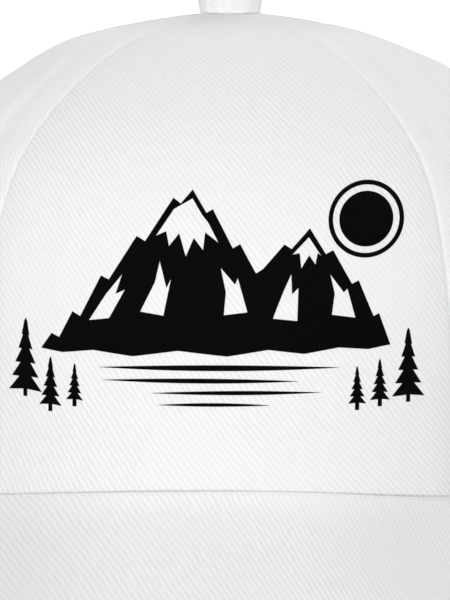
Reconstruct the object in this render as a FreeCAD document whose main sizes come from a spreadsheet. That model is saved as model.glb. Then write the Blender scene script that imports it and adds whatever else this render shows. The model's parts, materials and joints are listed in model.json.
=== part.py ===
import FreeCAD, Part
import math
import os

import Sketcher
from FreeCAD import Placement, Rotation, Vector

# A five-panel baseball cap of cotton twill: one wide front panel, two side panels, two back panels, a
# covered button, sewn eyelets, a curved brim and a cloth strap with a lever buckle.
# It is drawn about the middle of the crown, on the plane of the crown's lower edge: +Z up, front at -Y.
# At the end it is laid down as it rests on a table, on the brim's two sides and the crown's rear edge.
# Millimetres and degrees.

X_AXIS = Vector(1, 0, 0)
Y_AXIS = Vector(0, 1, 0)
Z_AXIS = Vector(0, 0, 1)

doc = FreeCAD.newDocument("BaseballCap")
sheet = doc.addObject("Spreadsheet::Sheet", "Sizes")

# Name and size of each driving dimension.
SIZES = (
    ("crown_half_width", 84.0),
    ("crown_half_length", 101.0),
    ("crown_height", 108.0),
    ("front_seam_turn", 33.0),          # azimuth of the front panel's two seams, from the front
    ("rear_seam_turn", 111.0),          # azimuth of the seams between side and back panels
    ("panel_thickness", 1.0),
    ("layer_gap", 0.25),                # air between two sewn layers
    ("lining_thickness", 0.6),
    ("lining_margin", 6.0),             # front lining's edge to the seam
    ("tape_width", 11.0),
    ("tape_hub_radius", 11.0),          # the five tapes stop round the button at this radius
    ("band_height", 30.0),
    ("band_thickness", 2.4),
    ("band_setback", 4.5),              # from the opening's edge to the sweatband's ends
    ("opening_half_width", 38.0),
    ("opening_height", 50.0),
    ("binding_width", 8.0),
    ("eyelet_radius", 5.0),
    ("eyelet_bore_radius", 2.2),
    ("eyelet_neck_radius", 3.4),
    ("eyelet_flange", 0.6),
    ("eyelet_outer_lift", 0.15),        # panel's outer face to the flange
    ("eyelet_inner_lift", 0.7),         # the panel curves towards the flange inside
    ("eyelet_drop", 42.0),              # from the top of the crown down to the eyelets
    ("button_radius", 7.5),
    ("button_height", 7.0),
    ("button_bulge", 4.34),             # height of its domed half above the widest level
    ("button_back_gap", 0.75),          # air between the tapes' inner face and the back plate
    ("button_back_bevel", 1.0),
    ("shank_radius", 2.0),
    ("button_back_radius", 8.0),
    ("button_back_thickness", 1.2),
    ("brim_length", 70.0),
    ("brim_end_inset", 9.0),            # the brim's two ends meet the crown this far in from its sides
    ("brim_flare", 2.0),                # the brim's sides stand this far out from its ends
    ("brim_tip_radius", 125.0),
    ("brim_corner_radius", 52.0),
    ("brim_root_height", 4.4),          # the crown's front edge is raised to this in the middle
    ("brim_slope", 23.0),
    ("brim_bend_radius", 120.0),
    ("brim_cover_thickness", 1.4),
    ("strap_thickness", 1.0),
    ("strap_width", 20.0),
    ("strap_end_radius", 6.0),
    ("strap_rise", 7.0),                # strap's lower edge above the crown's edge: the buckle hangs clear
    ("strap_sewn_reach", 56.0),         # how far from the middle the strap and tab are sewn in
    ("tail_reach", 22.0),
    ("buckle_half_length", 12.0),
    ("buckle_plate_thickness", 0.9),
    ("cheek_thickness", 1.2),
    ("cheek_clearance", 1.2),           # strap's edge to the cheek
    ("cheek_seat", 0.2),                # how deep the cheek laps the plate
    ("ear_wall", 1.4),                  # metal round the pin
    ("lug_wall", 0.9),                  # metal round the bar
    ("pin_radius", 0.8),
    ("pin_head_radius", 1.3),
    ("pin_head_height", 0.4),
    ("pin_offset", 6.0),                # pin's place along the strap, left of the middle
    ("pin_bore_clearance", 0.05),
    ("barrel_radius", 1.7),
    ("barrel_lift", 0.8),               # strap's face to the lever's barrel
    ("lever_length", 17.0),
    ("lever_thickness", 0.9),
    ("lever_corner_radius", 4.0),
    ("lever_side_clearance", 0.3),
    ("tooth_height", 0.5),
    ("tooth_pitch_turn", 35.0),         # from one tooth to the next round the barrel
    ("bar_radius", 0.9),
    ("bar_offset", 15.0),               # bar's place along the strap, right of the middle
    ("fit_clearance", 0.1),
)
for row, (alias, size) in enumerate(SIZES, start=1):
    sheet.set(f"A{row}", alias)
    sheet.set(f"B{row}", str(size))
    sheet.setAlias(f"B{row}", alias)
doc.recompute()


def size(alias):
    """The value of one driving dimension."""
    return float(sheet.get(alias))


def bind(feature, formulas):
    """Bind properties of a feature to formulas over the sheet's names."""
    for name, formula in formulas.items():
        feature.setExpression(name, formula)
    return feature


def value(formula):
    """The number that a formula over the sheet's names gives."""
    return float(sheet.evalExpression(formula))


def boolean(kind, name, base, *tools):
    """A chain of Part::Cut, Part::Common or Part::Fuse, one tool after another."""
    result = base
    for number, tool in enumerate(tools, start=1):
        step = doc.addObject("Part::" + kind, f"{name}_{kind.lower()}_{number}")
        step.Base = result
        step.Tool = tool
        result = step
    return result


def box(name, low, high):
    """A box between two corners, each given as three formulas."""
    solid = doc.addObject("Part::Box", name)
    for axis, length, start, end in zip("xyz", ("Length", "Width", "Height"), low, high):
        bind(solid, {length: f"({end}) - ({start})", "Placement.Base." + axis: start})
    return solid


def tongue(name, low, high, radius):
    """A box between two corners whose two edges at its +X end, seen from the back, are rounded."""
    block = box(name + "_block", low, high)
    doc.recompute()
    rounded = doc.addObject("Part::Fillet", name)
    rounded.Base = block
    end = block.Shape.BoundBox.XMax
    rounded.Edges = [
        (number, value(radius), value(radius))
        for number, edge in enumerate(block.Shape.Edges, start=1)
        if edge.BoundBox.XMin > end - FACETS and edge.BoundBox.YLength > FACETS
    ]
    return rounded


def origin_plane(body, role):
    """One of a body's own three planes."""
    return [feature for feature in body.Origin.OriginFeatures if feature.Role == role][0]


def sketch_in(body, name, role):
    """A sketch on one of the body's planes."""
    sketch = body.newObject("Sketcher::SketchObject", name)
    sketch.AttachmentSupport = [(origin_plane(body, role), "")]
    sketch.MapMode = "FlatFace"
    return sketch


def hold(sketch, constraint, formula):
    """Add a size to a sketch, bound to a formula."""
    sketch.addConstraint(constraint)
    sketch.setExpression(f"Constraints[{sketch.ConstraintCount - 1}]", formula)


def polygon(sketch, corners):
    """Draw a closed outline of straight lines; each corner is a pair of formulas."""
    points = [Vector(value(across), value(along), 0) for across, along in corners]
    for number, point in enumerate(points):
        sketch.addGeometry(Part.LineSegment(point, points[(number + 1) % len(points)]))
    for number, (across, along) in enumerate(corners):
        sketch.addConstraint(Sketcher.Constraint("Coincident", number, 2, (number + 1) % len(corners), 1))
        hold(sketch, Sketcher.Constraint("DistanceX", -1, 1, number, 1, points[number].x), across)
        hold(sketch, Sketcher.Constraint("DistanceY", -1, 1, number, 1, points[number].y), along)


def lathe(name, corners):
    """A body turned about its Z axis; each corner of its outline is a radius and a height."""
    body = doc.addObject("PartDesign::Body", name)
    profile = sketch_in(body, name + "_profile", "XZ_Plane")
    polygon(profile, corners)
    turned = body.newObject("PartDesign::Revolution", name + "_turned")
    turned.Profile = profile
    turned.ReferenceAxis = (profile, ["V_Axis"])
    turned.Angle = 360
    return body


pieces = {}                             # every sub-part by its name
FACETS = 0.05                           # how closely facets follow a curved face where points are compared

# --- the crown's form -------------------------------------------------------------------------------

# The crown's level sections: height, reach across and reach along, as shares of its height and of its
# two half-axes. The front and back lean in above the sweatband; the sides stand up longer.
LEVELS = (
    (0.0, 1.0, 1.0),
    (0.12, 1.0, 1.0),
    (0.26, 1.0, 1.0),
    (0.51, 0.995, 0.935),
    (0.725, 0.867, 0.785),
    (0.867, 0.637, 0.59),
    (0.948, 0.423, 0.40),
    (0.987, 0.205, 0.196),
    (1.0, 0.06, 0.057),
)

# Depth of each sewn layer's faces below the crown's outer face, as formulas.
PANEL_INSIDE = "Sizes.panel_thickness"
LINING_OUTSIDE = f"({PANEL_INSIDE} + Sizes.layer_gap)"
LINING_INSIDE = f"({LINING_OUTSIDE} + Sizes.lining_thickness)"
BAND_OUTSIDE = f"({LINING_INSIDE} + Sizes.layer_gap)"
BAND_INSIDE = f"({BAND_OUTSIDE} + Sizes.band_thickness)"
STRAP_OUTSIDE = f"({BAND_OUTSIDE} + Sizes.layer_gap)"
STRAP_INSIDE = f"({STRAP_OUTSIDE} + Sizes.strap_thickness)"
POCKET_INSIDE = f"({STRAP_INSIDE} + Sizes.layer_gap)"
PLATE_INSIDE = f"({POCKET_INSIDE} + Sizes.buckle_plate_thickness)"
FAR = "(Sizes.crown_half_length + Sizes.brim_length + 50)"


def ring(name, inset, rise, across=1.0, along=1.0):
    """One level section of the crown, an ellipse with its long axis along Y."""
    section = doc.addObject("Part::Ellipse", name)
    section.Placement = Placement(Vector(), Rotation(Z_AXIS, 90))
    return bind(section, {
        "MajorRadius": f"(Sizes.crown_half_length - {inset}) * {along}",
        "MinorRadius": f"(Sizes.crown_half_width - {inset}) * {across}",
        "Placement.Base.z": rise,
    })


def dome(name, inset):
    """The crown's solid form, drawn in from its outer face by the inset."""
    loft = doc.addObject("Part::Loft", name)
    loft.Sections = [
        ring(f"{name}_level_{number}", inset, f"(Sizes.crown_height - {inset}) * {rise}", across, along)
        for number, (rise, across, along) in enumerate(LEVELS)
    ]
    loft.Solid = True
    return loft


def upright(name, inset, low, high):
    """A prism on the crown's oval, drawn in by the inset, between two heights."""
    prism = doc.addObject("Part::Extrusion", name)
    prism.Base = ring(name + "_oval", inset, low)
    prism.DirMode = "Custom"
    prism.Dir = Z_AXIS
    prism.Solid = True
    return bind(prism, {"LengthFwd": f"({high}) - ({low})"})


def oval_wall(name, outside, inside, low, high):
    """The wall between two such prisms."""
    outer = upright(name + "_out", outside, low, high)
    return boolean("Cut", name, outer, upright(name + "_in", inside, low, high))


def sector(name, start, span):
    """A slice of the space round the crown's axis, from one azimuth on through a span."""
    slice_ = doc.addObject("Part::Cylinder", name)
    return bind(slice_, {
        "Radius": FAR,
        "Height": "Sizes.crown_height * 1.2",
        "Angle": span,
        "Placement.Rotation.Angle": start,
    })


crown_outside = dome("crown_outside", "0")
crown_wall = boolean("Cut", "crown_wall", crown_outside, dome("wall_inside", PANEL_INSIDE))
lining_wall = boolean(
    "Cut", "lining_wall", dome("lining_outside", LINING_OUTSIDE), dome("lining_inside", LINING_INSIDE))

# --- what cuts the crown ----------------------------------------------------------------------------

BRIM_END_HALF = "(Sizes.crown_half_width - Sizes.brim_end_inset)"
BRIM_HALF = f"({BRIM_END_HALF} + Sizes.brim_flare)"
BRIM_END = f"-Sizes.crown_half_length * sqrt(1 - ({BRIM_END_HALF} / Sizes.crown_half_width) ^ 2)"


def brim_tube(name, drop):
    """The tube on which the brim is bent, its top at the crown's front edge, made smaller by the drop."""
    tube = doc.addObject("Part::Cylinder", name)
    tube.Placement = Placement(Vector(), Rotation(X_AXIS, 90))
    behind = "Sizes.crown_half_length"
    return bind(tube, {
        "Radius": f"Sizes.brim_bend_radius - ({drop})",
        "Height": f"{behind} + {FAR}",
        "Placement.Rotation.Angle": "90 + Sizes.brim_slope",
        "Placement.Base.y": "-Sizes.crown_half_length + Sizes.brim_bend_radius * sin(Sizes.brim_slope)"
                            f" + {behind} * cos(Sizes.brim_slope)",
        "Placement.Base.z": "Sizes.brim_root_height - Sizes.brim_bend_radius * cos(Sizes.brim_slope)"
                            f" + {behind} * sin(Sizes.brim_slope)",
    })


before_brim_ends = box("before_brim_ends", (f"-{FAR}", f"-{FAR}", f"-{FAR}"), (FAR, BRIM_END, FAR))
brim_space = boolean(
    "Common", "brim_space", brim_tube("brim_space_tube", "-Sizes.layer_gap"), before_brim_ends)
BRIM_THICKNESS = "(2 * Sizes.brim_cover_thickness + Sizes.layer_gap)"
under_brim_space = boolean(
    "Common", "under_brim_space", brim_tube("under_brim_tube", BRIM_THICKNESS), before_brim_ends)


def arch(name, margin):
    """The back opening's outline, made wider by the margin and run through the rear wall."""
    radius = f"(Sizes.opening_half_width + {margin})"
    head = doc.addObject("Part::Cylinder", name + "_head")
    head.Placement = Placement(Vector(), Rotation(X_AXIS, -90))
    spring = "(Sizes.opening_height - Sizes.opening_half_width)"
    bind(head, {"Radius": radius, "Height": FAR, "Placement.Base.z": spring})
    legs = box(name + "_legs", (f"-{radius}", "0", "-10"), (radius, FAR, spring))
    return boolean("Fuse", name, head, legs)


back_opening = arch("back_opening", "0")
around_opening = arch("around_opening", "Sizes.binding_width")
tape_stop = arch("tape_stop", "Sizes.binding_width + Sizes.layer_gap")
band_stop = arch("band_stop", "Sizes.band_setback")

shank_hole = bind(doc.addObject("Part::Cylinder", "shank_hole"), {
    "Radius": "Sizes.shank_radius + Sizes.layer_gap",
    "Height": "Sizes.crown_height * 1.2",
})

# --- eyelets ----------------------------------------------------------------------------------------

doc.recompute()
SIDE_TURN = (size("front_seam_turn") + size("rear_seam_turn")) / 2
BACK_TURN = (size("rear_seam_turn") + 180) / 2


def on_crown(turn, drop):
    """Placement on the crown's outer face at an azimuth and a drop from the top, its Z axis outwards."""
    height = size("crown_height") - drop
    outward = Vector(math.sin(math.radians(turn)), -math.cos(math.radians(turn)), 0)
    middle = Vector(0, 0, height)
    ray = Part.makeLine(middle, middle + outward * size("crown_half_length") * 2)
    face = crown_outside.Shape.Faces[0]
    for candidate in crown_outside.Shape.Faces:
        if candidate.section(ray).Vertexes:
            face = candidate
    point = face.section(ray).Vertexes[0].Point
    normal = face.normalAt(*face.Surface.parameter(point))
    if normal.dot(outward) < 0:
        normal = -normal
    return Placement(point, Rotation(Z_AXIS, normal))


EYELETS = (
    # sub-part, azimuth
    ("eyelet_side_left", -SIDE_TURN),
    ("eyelet_side_right", SIDE_TURN),
    ("eyelet_back_left", -BACK_TURN),
    ("eyelet_back_right", BACK_TURN),
)
eyelet_holes = {}
for name, turn in EYELETS:
    hole = bind(doc.addObject("Part::Cylinder", name + "_hole"), {
        "Radius": "Sizes.eyelet_neck_radius + Sizes.layer_gap",
        "Height": "4 * Sizes.eyelet_radius",
    })
    seat = on_crown(turn, size("eyelet_drop"))
    hole.Placement = seat * Placement(Vector(0, 0, -2 * size("eyelet_radius")), Rotation())
    eyelet_holes[name] = hole

    bore, neck, flange = "Sizes.eyelet_bore_radius", "Sizes.eyelet_neck_radius", "Sizes.eyelet_radius"
    outer, inner = "Sizes.eyelet_outer_lift", "-Sizes.panel_thickness - Sizes.eyelet_inner_lift"
    top, bottom = f"{outer} + Sizes.eyelet_flange", f"{inner} - Sizes.eyelet_flange"
    pieces[name] = lathe(name, (
        (bore, bottom), (flange, bottom), (flange, inner), (neck, inner),
        (neck, outer), (flange, outer), (flange, top), (bore, top),
    ))
    pieces[name].Placement = seat

# --- panels and linings -----------------------------------------------------------------------------

PANELS = (
    # sub-part, start of its sector (from +X), span, what else cuts it
    ("front_panel", "-90 - Sizes.front_seam_turn", "2 * Sizes.front_seam_turn", (brim_space,)),
    ("side_panel_right", "-90 + Sizes.front_seam_turn", "Sizes.rear_seam_turn - Sizes.front_seam_turn",
     (brim_space, eyelet_holes["eyelet_side_right"])),
    ("side_panel_left", "-90 - Sizes.rear_seam_turn", "Sizes.rear_seam_turn - Sizes.front_seam_turn",
     (brim_space, eyelet_holes["eyelet_side_left"])),
    ("back_panel_right", "-90 + Sizes.rear_seam_turn", "180 - Sizes.rear_seam_turn",
     (back_opening, eyelet_holes["eyelet_back_right"])),
    ("back_panel_left", "90", "180 - Sizes.rear_seam_turn",
     (back_opening, eyelet_holes["eyelet_back_left"])),
)
for name, start_turn, span, cutters in PANELS:
    panel = boolean("Common", name, crown_wall, sector(name + "_sector", start_turn, span))
    pieces[name] = boolean("Cut", name, panel, shank_hole, *cutters)

lining_sector = sector("lining_sector", "-90 - Sizes.front_seam_turn", "2 * Sizes.front_seam_turn")
bind(lining_sector, {"Placement.Base.y": "-Sizes.lining_margin / sin(Sizes.front_seam_turn)"})
pieces["front_lining"] = boolean(
    "Cut", "front_lining", boolean("Common", "front_lining", lining_wall, lining_sector), brim_space)

TAPES = (
    # sub-part, azimuth of its seam, what cuts its lower end
    ("seam_tape_front_right", "Sizes.front_seam_turn", brim_space),
    ("seam_tape_front_left", "-Sizes.front_seam_turn", brim_space),
    ("seam_tape_side_right", "Sizes.rear_seam_turn", None),
    ("seam_tape_side_left", "-Sizes.rear_seam_turn", None),
    ("seam_tape_back", "180", tape_stop),
)
hub = bind(doc.addObject("Part::Cylinder", "tape_hub"), {
    "Radius": "Sizes.tape_hub_radius",
    "Height": "Sizes.crown_height * 1.2",
})
for name, turn, cutter in TAPES:
    run = bind(doc.addObject("Part::Box", name + "_run"), {
        "Length": FAR,
        "Width": "Sizes.tape_width",
        "Height": "Sizes.crown_height",
        "Placement.Rotation.Angle": f"{turn} - 90",
        "Placement.Base.x": f"Sizes.tape_width / 2 * sin({turn} - 90)",
        "Placement.Base.y": f"-Sizes.tape_width / 2 * cos({turn} - 90)",
    })
    wall = boolean("Cut", name, lining_wall, hub, *([cutter] if cutter else []))
    pieces[name] = boolean("Common", name, wall, run)

open_lining = boolean("Cut", "opening_binding", lining_wall, back_opening)
pieces["opening_binding"] = boolean("Common", "opening_binding", open_lining, around_opening)

# --- sweatband --------------------------------------------------------------------------------------

band = oval_wall("sweatband_wall", BAND_OUTSIDE, BAND_INSIDE, "0", "Sizes.band_height")
pocket_wall = oval_wall("pocket_wall", BAND_OUTSIDE, POCKET_INSIDE, "0", "Sizes.band_height")
pocket_reach = "(Sizes.strap_sewn_reach + Sizes.layer_gap)"
pocket_box = box(
    "pocket_box", (f"-{pocket_reach}", "0", "-1"),
    (pocket_reach, FAR, "Sizes.strap_rise + Sizes.strap_width + Sizes.layer_gap"))
pocket = boolean("Common", "pocket", pocket_wall, pocket_box)
pieces["sweatband"] = boolean("Cut", "sweatband", band, pocket, band_stop, under_brim_space)

# --- brim -------------------------------------------------------------------------------------------

brim_plan = doc.addObject("PartDesign::Body", "brim_plan")
outline = sketch_in(brim_plan, "brim_outline", "XY_Plane")


def tangent_arcs():
    """Starting geometry for the brim's plan: tip arc, two corner arcs, two sides and the back."""
    tip_centre = Vector(0, -size("crown_half_length") - size("brim_length") + size("brim_tip_radius"), 0)
    corner_x = value(BRIM_HALF) - size("brim_corner_radius")
    between = size("brim_tip_radius") - size("brim_corner_radius")
    corner = Vector(corner_x, tip_centre.y - math.sqrt(between ** 2 - corner_x ** 2), 0)
    lean = math.atan2(corner.y - tip_centre.y, corner.x)
    end = Vector(value(BRIM_END_HALF), value(BRIM_END), 0)
    mirrored = Vector(-corner.x, corner.y, 0)
    tip = Part.Circle(tip_centre, Z_AXIS, size("brim_tip_radius"))
    right = Part.Circle(corner, Z_AXIS, size("brim_corner_radius"))
    left = Part.Circle(mirrored, Z_AXIS, size("brim_corner_radius"))
    side = Vector(value(BRIM_HALF), corner.y, 0)
    return (
        Part.ArcOfCircle(tip, -math.pi - lean, lean),
        Part.ArcOfCircle(right, lean, 0),
        Part.LineSegment(side, end),
        Part.LineSegment(end, Vector(-end.x, end.y, 0)),
        Part.LineSegment(Vector(-end.x, end.y, 0), Vector(-side.x, side.y, 0)),
        Part.ArcOfCircle(left, -math.pi, -math.pi - lean),
    )


for curve in tangent_arcs():
    outline.addGeometry(curve)
TIP, RIGHT_CORNER, RIGHT_SIDE, BACK, LEFT_SIDE, LEFT_CORNER = range(6)
START, END, CENTRE = 1, 2, 3
ORIGIN, V_AXIS = (-1, 1), -2
for constraint in (
    Sketcher.Constraint("Tangent", TIP, END, RIGHT_CORNER, START),
    Sketcher.Constraint("Coincident", RIGHT_CORNER, END, RIGHT_SIDE, START),
    Sketcher.Constraint("Coincident", RIGHT_SIDE, END, BACK, START),
    Sketcher.Constraint("Coincident", BACK, END, LEFT_SIDE, START),
    Sketcher.Constraint("Coincident", LEFT_SIDE, END, LEFT_CORNER, START),
    Sketcher.Constraint("Tangent", LEFT_CORNER, END, TIP, START),
    Sketcher.Constraint("PointOnObject", TIP, CENTRE, V_AXIS),
    Sketcher.Constraint("Symmetric", RIGHT_CORNER, CENTRE, LEFT_CORNER, CENTRE, V_AXIS),
    Sketcher.Constraint("Symmetric", BACK, START, BACK, END, V_AXIS),
    Sketcher.Constraint("Horizontal", RIGHT_CORNER, CENTRE, RIGHT_CORNER, END),
    Sketcher.Constraint("Horizontal", LEFT_CORNER, CENTRE, LEFT_CORNER, START),
):
    outline.addConstraint(constraint)
for constraint, formula in (
    (Sketcher.Constraint("Radius", TIP, size("brim_tip_radius")), "Sizes.brim_tip_radius"),
    (Sketcher.Constraint("Radius", RIGHT_CORNER, size("brim_corner_radius")), "Sizes.brim_corner_radius"),
    (Sketcher.Constraint("DistanceX", *ORIGIN, RIGHT_CORNER, END, value(BRIM_HALF)), BRIM_HALF),
    (Sketcher.Constraint("DistanceX", *ORIGIN, BACK, START, value(BRIM_END_HALF)), BRIM_END_HALF),
    (Sketcher.Constraint("DistanceY", BACK, START, *ORIGIN, 45.0), f"-({BRIM_END})"),
    (Sketcher.Constraint("DistanceY", TIP, CENTRE, *ORIGIN, 46.0),
     "Sizes.crown_half_length + Sizes.brim_length - Sizes.brim_tip_radius"),
):
    hold(outline, constraint, formula)
brim_prism = brim_plan.newObject("PartDesign::Pad", "brim_prism")
brim_prism.Profile = outline
brim_prism.Midplane = True
bind(brim_prism, {"Length": "2 * Sizes.brim_bend_radius"})

inside_crown = upright("inside_crown", LINING_INSIDE, f"-{FAR}", FAR)
for name, top, bottom in (
    ("brim_top_cover", "0", "Sizes.brim_cover_thickness"),
    ("brim_under_cover", "Sizes.brim_cover_thickness + Sizes.layer_gap", BRIM_THICKNESS),
):
    above, below = brim_tube(name + "_top", top), brim_tube(name + "_bottom", bottom)
    layer = boolean("Common", name, boolean("Cut", name + "_layer", above, below), brim_plan)
    pieces[name] = boolean("Cut", name, layer, inside_crown)

# --- button -----------------------------------------------------------------------------------------

BUTTON_BASE = "(Sizes.crown_height + Sizes.layer_gap)"
cushion = bind(doc.addObject("Part::Ellipsoid", "button_cushion"), {
    "Radius1": "Sizes.button_bulge",
    "Radius2": "Sizes.button_radius",
    "Placement.Base.z": f"{BUTTON_BASE} + Sizes.button_height - Sizes.button_bulge",
})
below_button = box("below_button", (f"-{FAR}", f"-{FAR}", f"-{FAR}"), (FAR, FAR, BUTTON_BASE))
BUTTON_BACK_TOP = f"(Sizes.crown_height - {LINING_INSIDE} - Sizes.button_back_gap)"
BUTTON_BACK_LOW = f"({BUTTON_BACK_TOP} - Sizes.button_back_thickness)"
shank = bind(doc.addObject("Part::Cylinder", "button_shank"), {
    "Radius": "Sizes.shank_radius",
    "Height": f"{BUTTON_BASE} + Sizes.button_height / 2 - {BUTTON_BACK_LOW}",
    "Placement.Base.z": BUTTON_BACK_LOW,
})
pieces["crown_button"] = boolean(
    "Fuse", "crown_button", boolean("Cut", "crown_button", cushion, below_button), shank)

BACK_BORE = "Sizes.shank_radius + Sizes.pin_bore_clearance"
pieces["button_back"] = lathe("button_back", (
    (BACK_BORE, BUTTON_BACK_LOW), ("Sizes.button_back_radius - Sizes.button_back_bevel", BUTTON_BACK_LOW),
    ("Sizes.button_back_radius", f"{BUTTON_BACK_LOW} + Sizes.button_back_thickness / 2"),
    ("Sizes.button_back_radius", BUTTON_BACK_TOP), (BACK_BORE, BUTTON_BACK_TOP),
))

# --- strap and buckle -------------------------------------------------------------------------------
# They close the back opening. "Along" is +X, "out" is +Y; the strap runs round the crown's oval.


def out_at(along, inset):
    """How far out the oval lies at a place along the strap."""
    return (f"((Sizes.crown_half_length - {inset})"
            f" * sqrt(1 - (({along}) / (Sizes.crown_half_width - {inset})) ^ 2))")


STRAP_LOW = "Sizes.strap_rise"
STRAP_HIGH = "(Sizes.strap_rise + Sizes.strap_width)"
strap_wall = oval_wall("strap_wall", STRAP_OUTSIDE, STRAP_INSIDE, STRAP_LOW, STRAP_HIGH)
pieces["strap"] = boolean("Common", "strap", strap_wall, tongue(
    "strap_run", ("-Sizes.strap_sewn_reach", "0", STRAP_LOW), ("Sizes.tail_reach", FAR, STRAP_HIGH),
    "Sizes.strap_end_radius"))

CHEEK_IN_LOW = f"({STRAP_LOW} - Sizes.cheek_clearance)"
CHEEK_IN_HIGH = f"({STRAP_HIGH} + Sizes.cheek_clearance)"
CHEEK_LOW = f"({CHEEK_IN_LOW} - Sizes.cheek_thickness)"
CHEEK_HIGH = f"({CHEEK_IN_HIGH} + Sizes.cheek_thickness)"
PIN_ALONG = "(-Sizes.pin_offset)"
PIN_OUT = f"({out_at('0', STRAP_OUTSIDE)} + Sizes.barrel_lift + Sizes.barrel_radius)"
BAR_ALONG = "Sizes.bar_offset"
LOOP_RADIUS = "(Sizes.bar_radius + Sizes.fit_clearance + Sizes.strap_thickness)"
BAR_OUT = f"({out_at(BAR_ALONG, STRAP_INSIDE)} - Sizes.layer_gap - {LOOP_RADIUS})"


def rod(name, along, out, low, high, radius):
    """A round rod that stands up across the strap."""
    solid = doc.addObject("Part::Cylinder", name)
    return bind(solid, {
        "Radius": radius,
        "Height": f"({high}) - ({low})",
        "Placement.Base.x": along,
        "Placement.Base.y": out,
        "Placement.Base.z": low,
    })


plate_wall = oval_wall("plate_wall", POCKET_INSIDE, PLATE_INSIDE, CHEEK_LOW, CHEEK_HIGH)
frame_parts = [boolean("Common", "buckle_plate", plate_wall, box(
    "plate_run", ("-Sizes.buckle_half_length", "0", f"-{FAR}"), ("Sizes.buckle_half_length", FAR, FAR)))]
EAR_RADIUS = "(Sizes.pin_radius + Sizes.ear_wall)"
LUG_RADIUS = "(Sizes.bar_radius + Sizes.lug_wall)"
CHEEK_FOOT = f"({out_at('Sizes.buckle_half_length', PLATE_INSIDE)} - Sizes.cheek_seat)"
for side, low, high in (("low", CHEEK_LOW, CHEEK_IN_LOW), ("high", CHEEK_IN_HIGH, CHEEK_HIGH)):
    plan = doc.addObject("PartDesign::Body", f"cheek_{side}")
    profile = sketch_in(plan, f"cheek_{side}_outline", "XY_Plane")
    polygon(profile, (
        ("-Sizes.buckle_half_length", CHEEK_FOOT),
        (BAR_ALONG, f"{BAR_OUT} - {LUG_RADIUS}"),
        (BAR_ALONG, f"{BAR_OUT} + {LUG_RADIUS}"),
        (f"{PIN_ALONG} + {EAR_RADIUS}", PIN_OUT),
        (f"{PIN_ALONG} - {EAR_RADIUS}", PIN_OUT),
        ("-Sizes.buckle_half_length", out_at("Sizes.buckle_half_length", STRAP_OUTSIDE)),
    ))
    pad = plan.newObject("PartDesign::Pad", f"cheek_{side}_pad")
    pad.Profile = profile
    bind(pad, {"Length": "Sizes.cheek_thickness"})
    bind(plan, {"Placement.Base.z": low})
    frame_parts += [
        plan,
        rod(f"ear_{side}", PIN_ALONG, PIN_OUT, low, high, EAR_RADIUS),
        rod(f"lug_{side}", BAR_ALONG, BAR_OUT, low, high, LUG_RADIUS),
    ]
frame_parts.append(rod("strap_bar", BAR_ALONG, BAR_OUT, CHEEK_LOW, CHEEK_HIGH, "Sizes.bar_radius"))
frame_blank = boolean("Fuse", "frame_blank", *frame_parts)
pin_hole = rod("pin_hole", PIN_ALONG, PIN_OUT, f"-{FAR}", FAR, "Sizes.pin_radius")
pieces["buckle_frame"] = boolean("Cut", "buckle_frame", frame_blank, pin_hole)
HEAD_LOW = f"{CHEEK_LOW} - Sizes.pin_head_height"
HEAD_HIGH = f"{CHEEK_HIGH} + Sizes.pin_head_height"
pieces["buckle_pin"] = boolean(
    "Fuse", "buckle_pin", rod("pin_shaft", PIN_ALONG, PIN_OUT, CHEEK_LOW, CHEEK_HIGH, "Sizes.pin_radius"),
    rod("pin_head_low", PIN_ALONG, PIN_OUT, HEAD_LOW, CHEEK_LOW, "Sizes.pin_head_radius"),
    rod("pin_head_high", PIN_ALONG, PIN_OUT, CHEEK_HIGH, HEAD_HIGH, "Sizes.pin_head_radius"))

LEVER_LOW = f"({CHEEK_IN_LOW} + Sizes.lever_side_clearance)"
LEVER_HIGH = f"({CHEEK_IN_HIGH} - Sizes.lever_side_clearance)"
LEVER_FACE = f"({PIN_OUT} + Sizes.barrel_radius - Sizes.lever_thickness)"
LEVER_BACK = f"({PIN_OUT} + Sizes.barrel_radius)"
LIP_RADIUS = "(2 * Sizes.lever_thickness)"
LEVER_END = f"({PIN_ALONG} + Sizes.lever_length)"
LIP_OUT = f"({LEVER_FACE} + {LIP_RADIUS})"
lever = doc.addObject("PartDesign::Body", "lever_plate")
profile = sketch_in(lever, "lever_outline", "XY_Plane")
polygon(profile, (
    (PIN_ALONG, LEVER_FACE), (LEVER_END, LEVER_FACE), (LEVER_END, LEVER_BACK), (PIN_ALONG, LEVER_BACK),
))
pad = lever.newObject("PartDesign::Pad", "lever_pad")
pad.Profile = profile
bind(pad, {"Length": f"{LEVER_HIGH} - {LEVER_LOW}"})
bind(lever, {"Placement.Base.z": LEVER_LOW})
lip = boolean(
    "Cut", "lip", rod("lip_out", LEVER_END, LIP_OUT, LEVER_LOW, LEVER_HIGH, LIP_RADIUS),
    rod("lip_in", LEVER_END, LIP_OUT, LEVER_LOW, LEVER_HIGH, f"{LIP_RADIUS} - Sizes.lever_thickness"),
    box("lip_open", (f"{LEVER_END} - 2 * {LIP_RADIUS}", LEVER_FACE, f"-{FAR}"),
        (LEVER_END, f"{LEVER_FACE} + 3 * {LIP_RADIUS}", FAR)))
barrel = rod("lever_barrel", PIN_ALONG, PIN_OUT, LEVER_LOW, LEVER_HIGH, "Sizes.barrel_radius")
teeth = []
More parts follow.
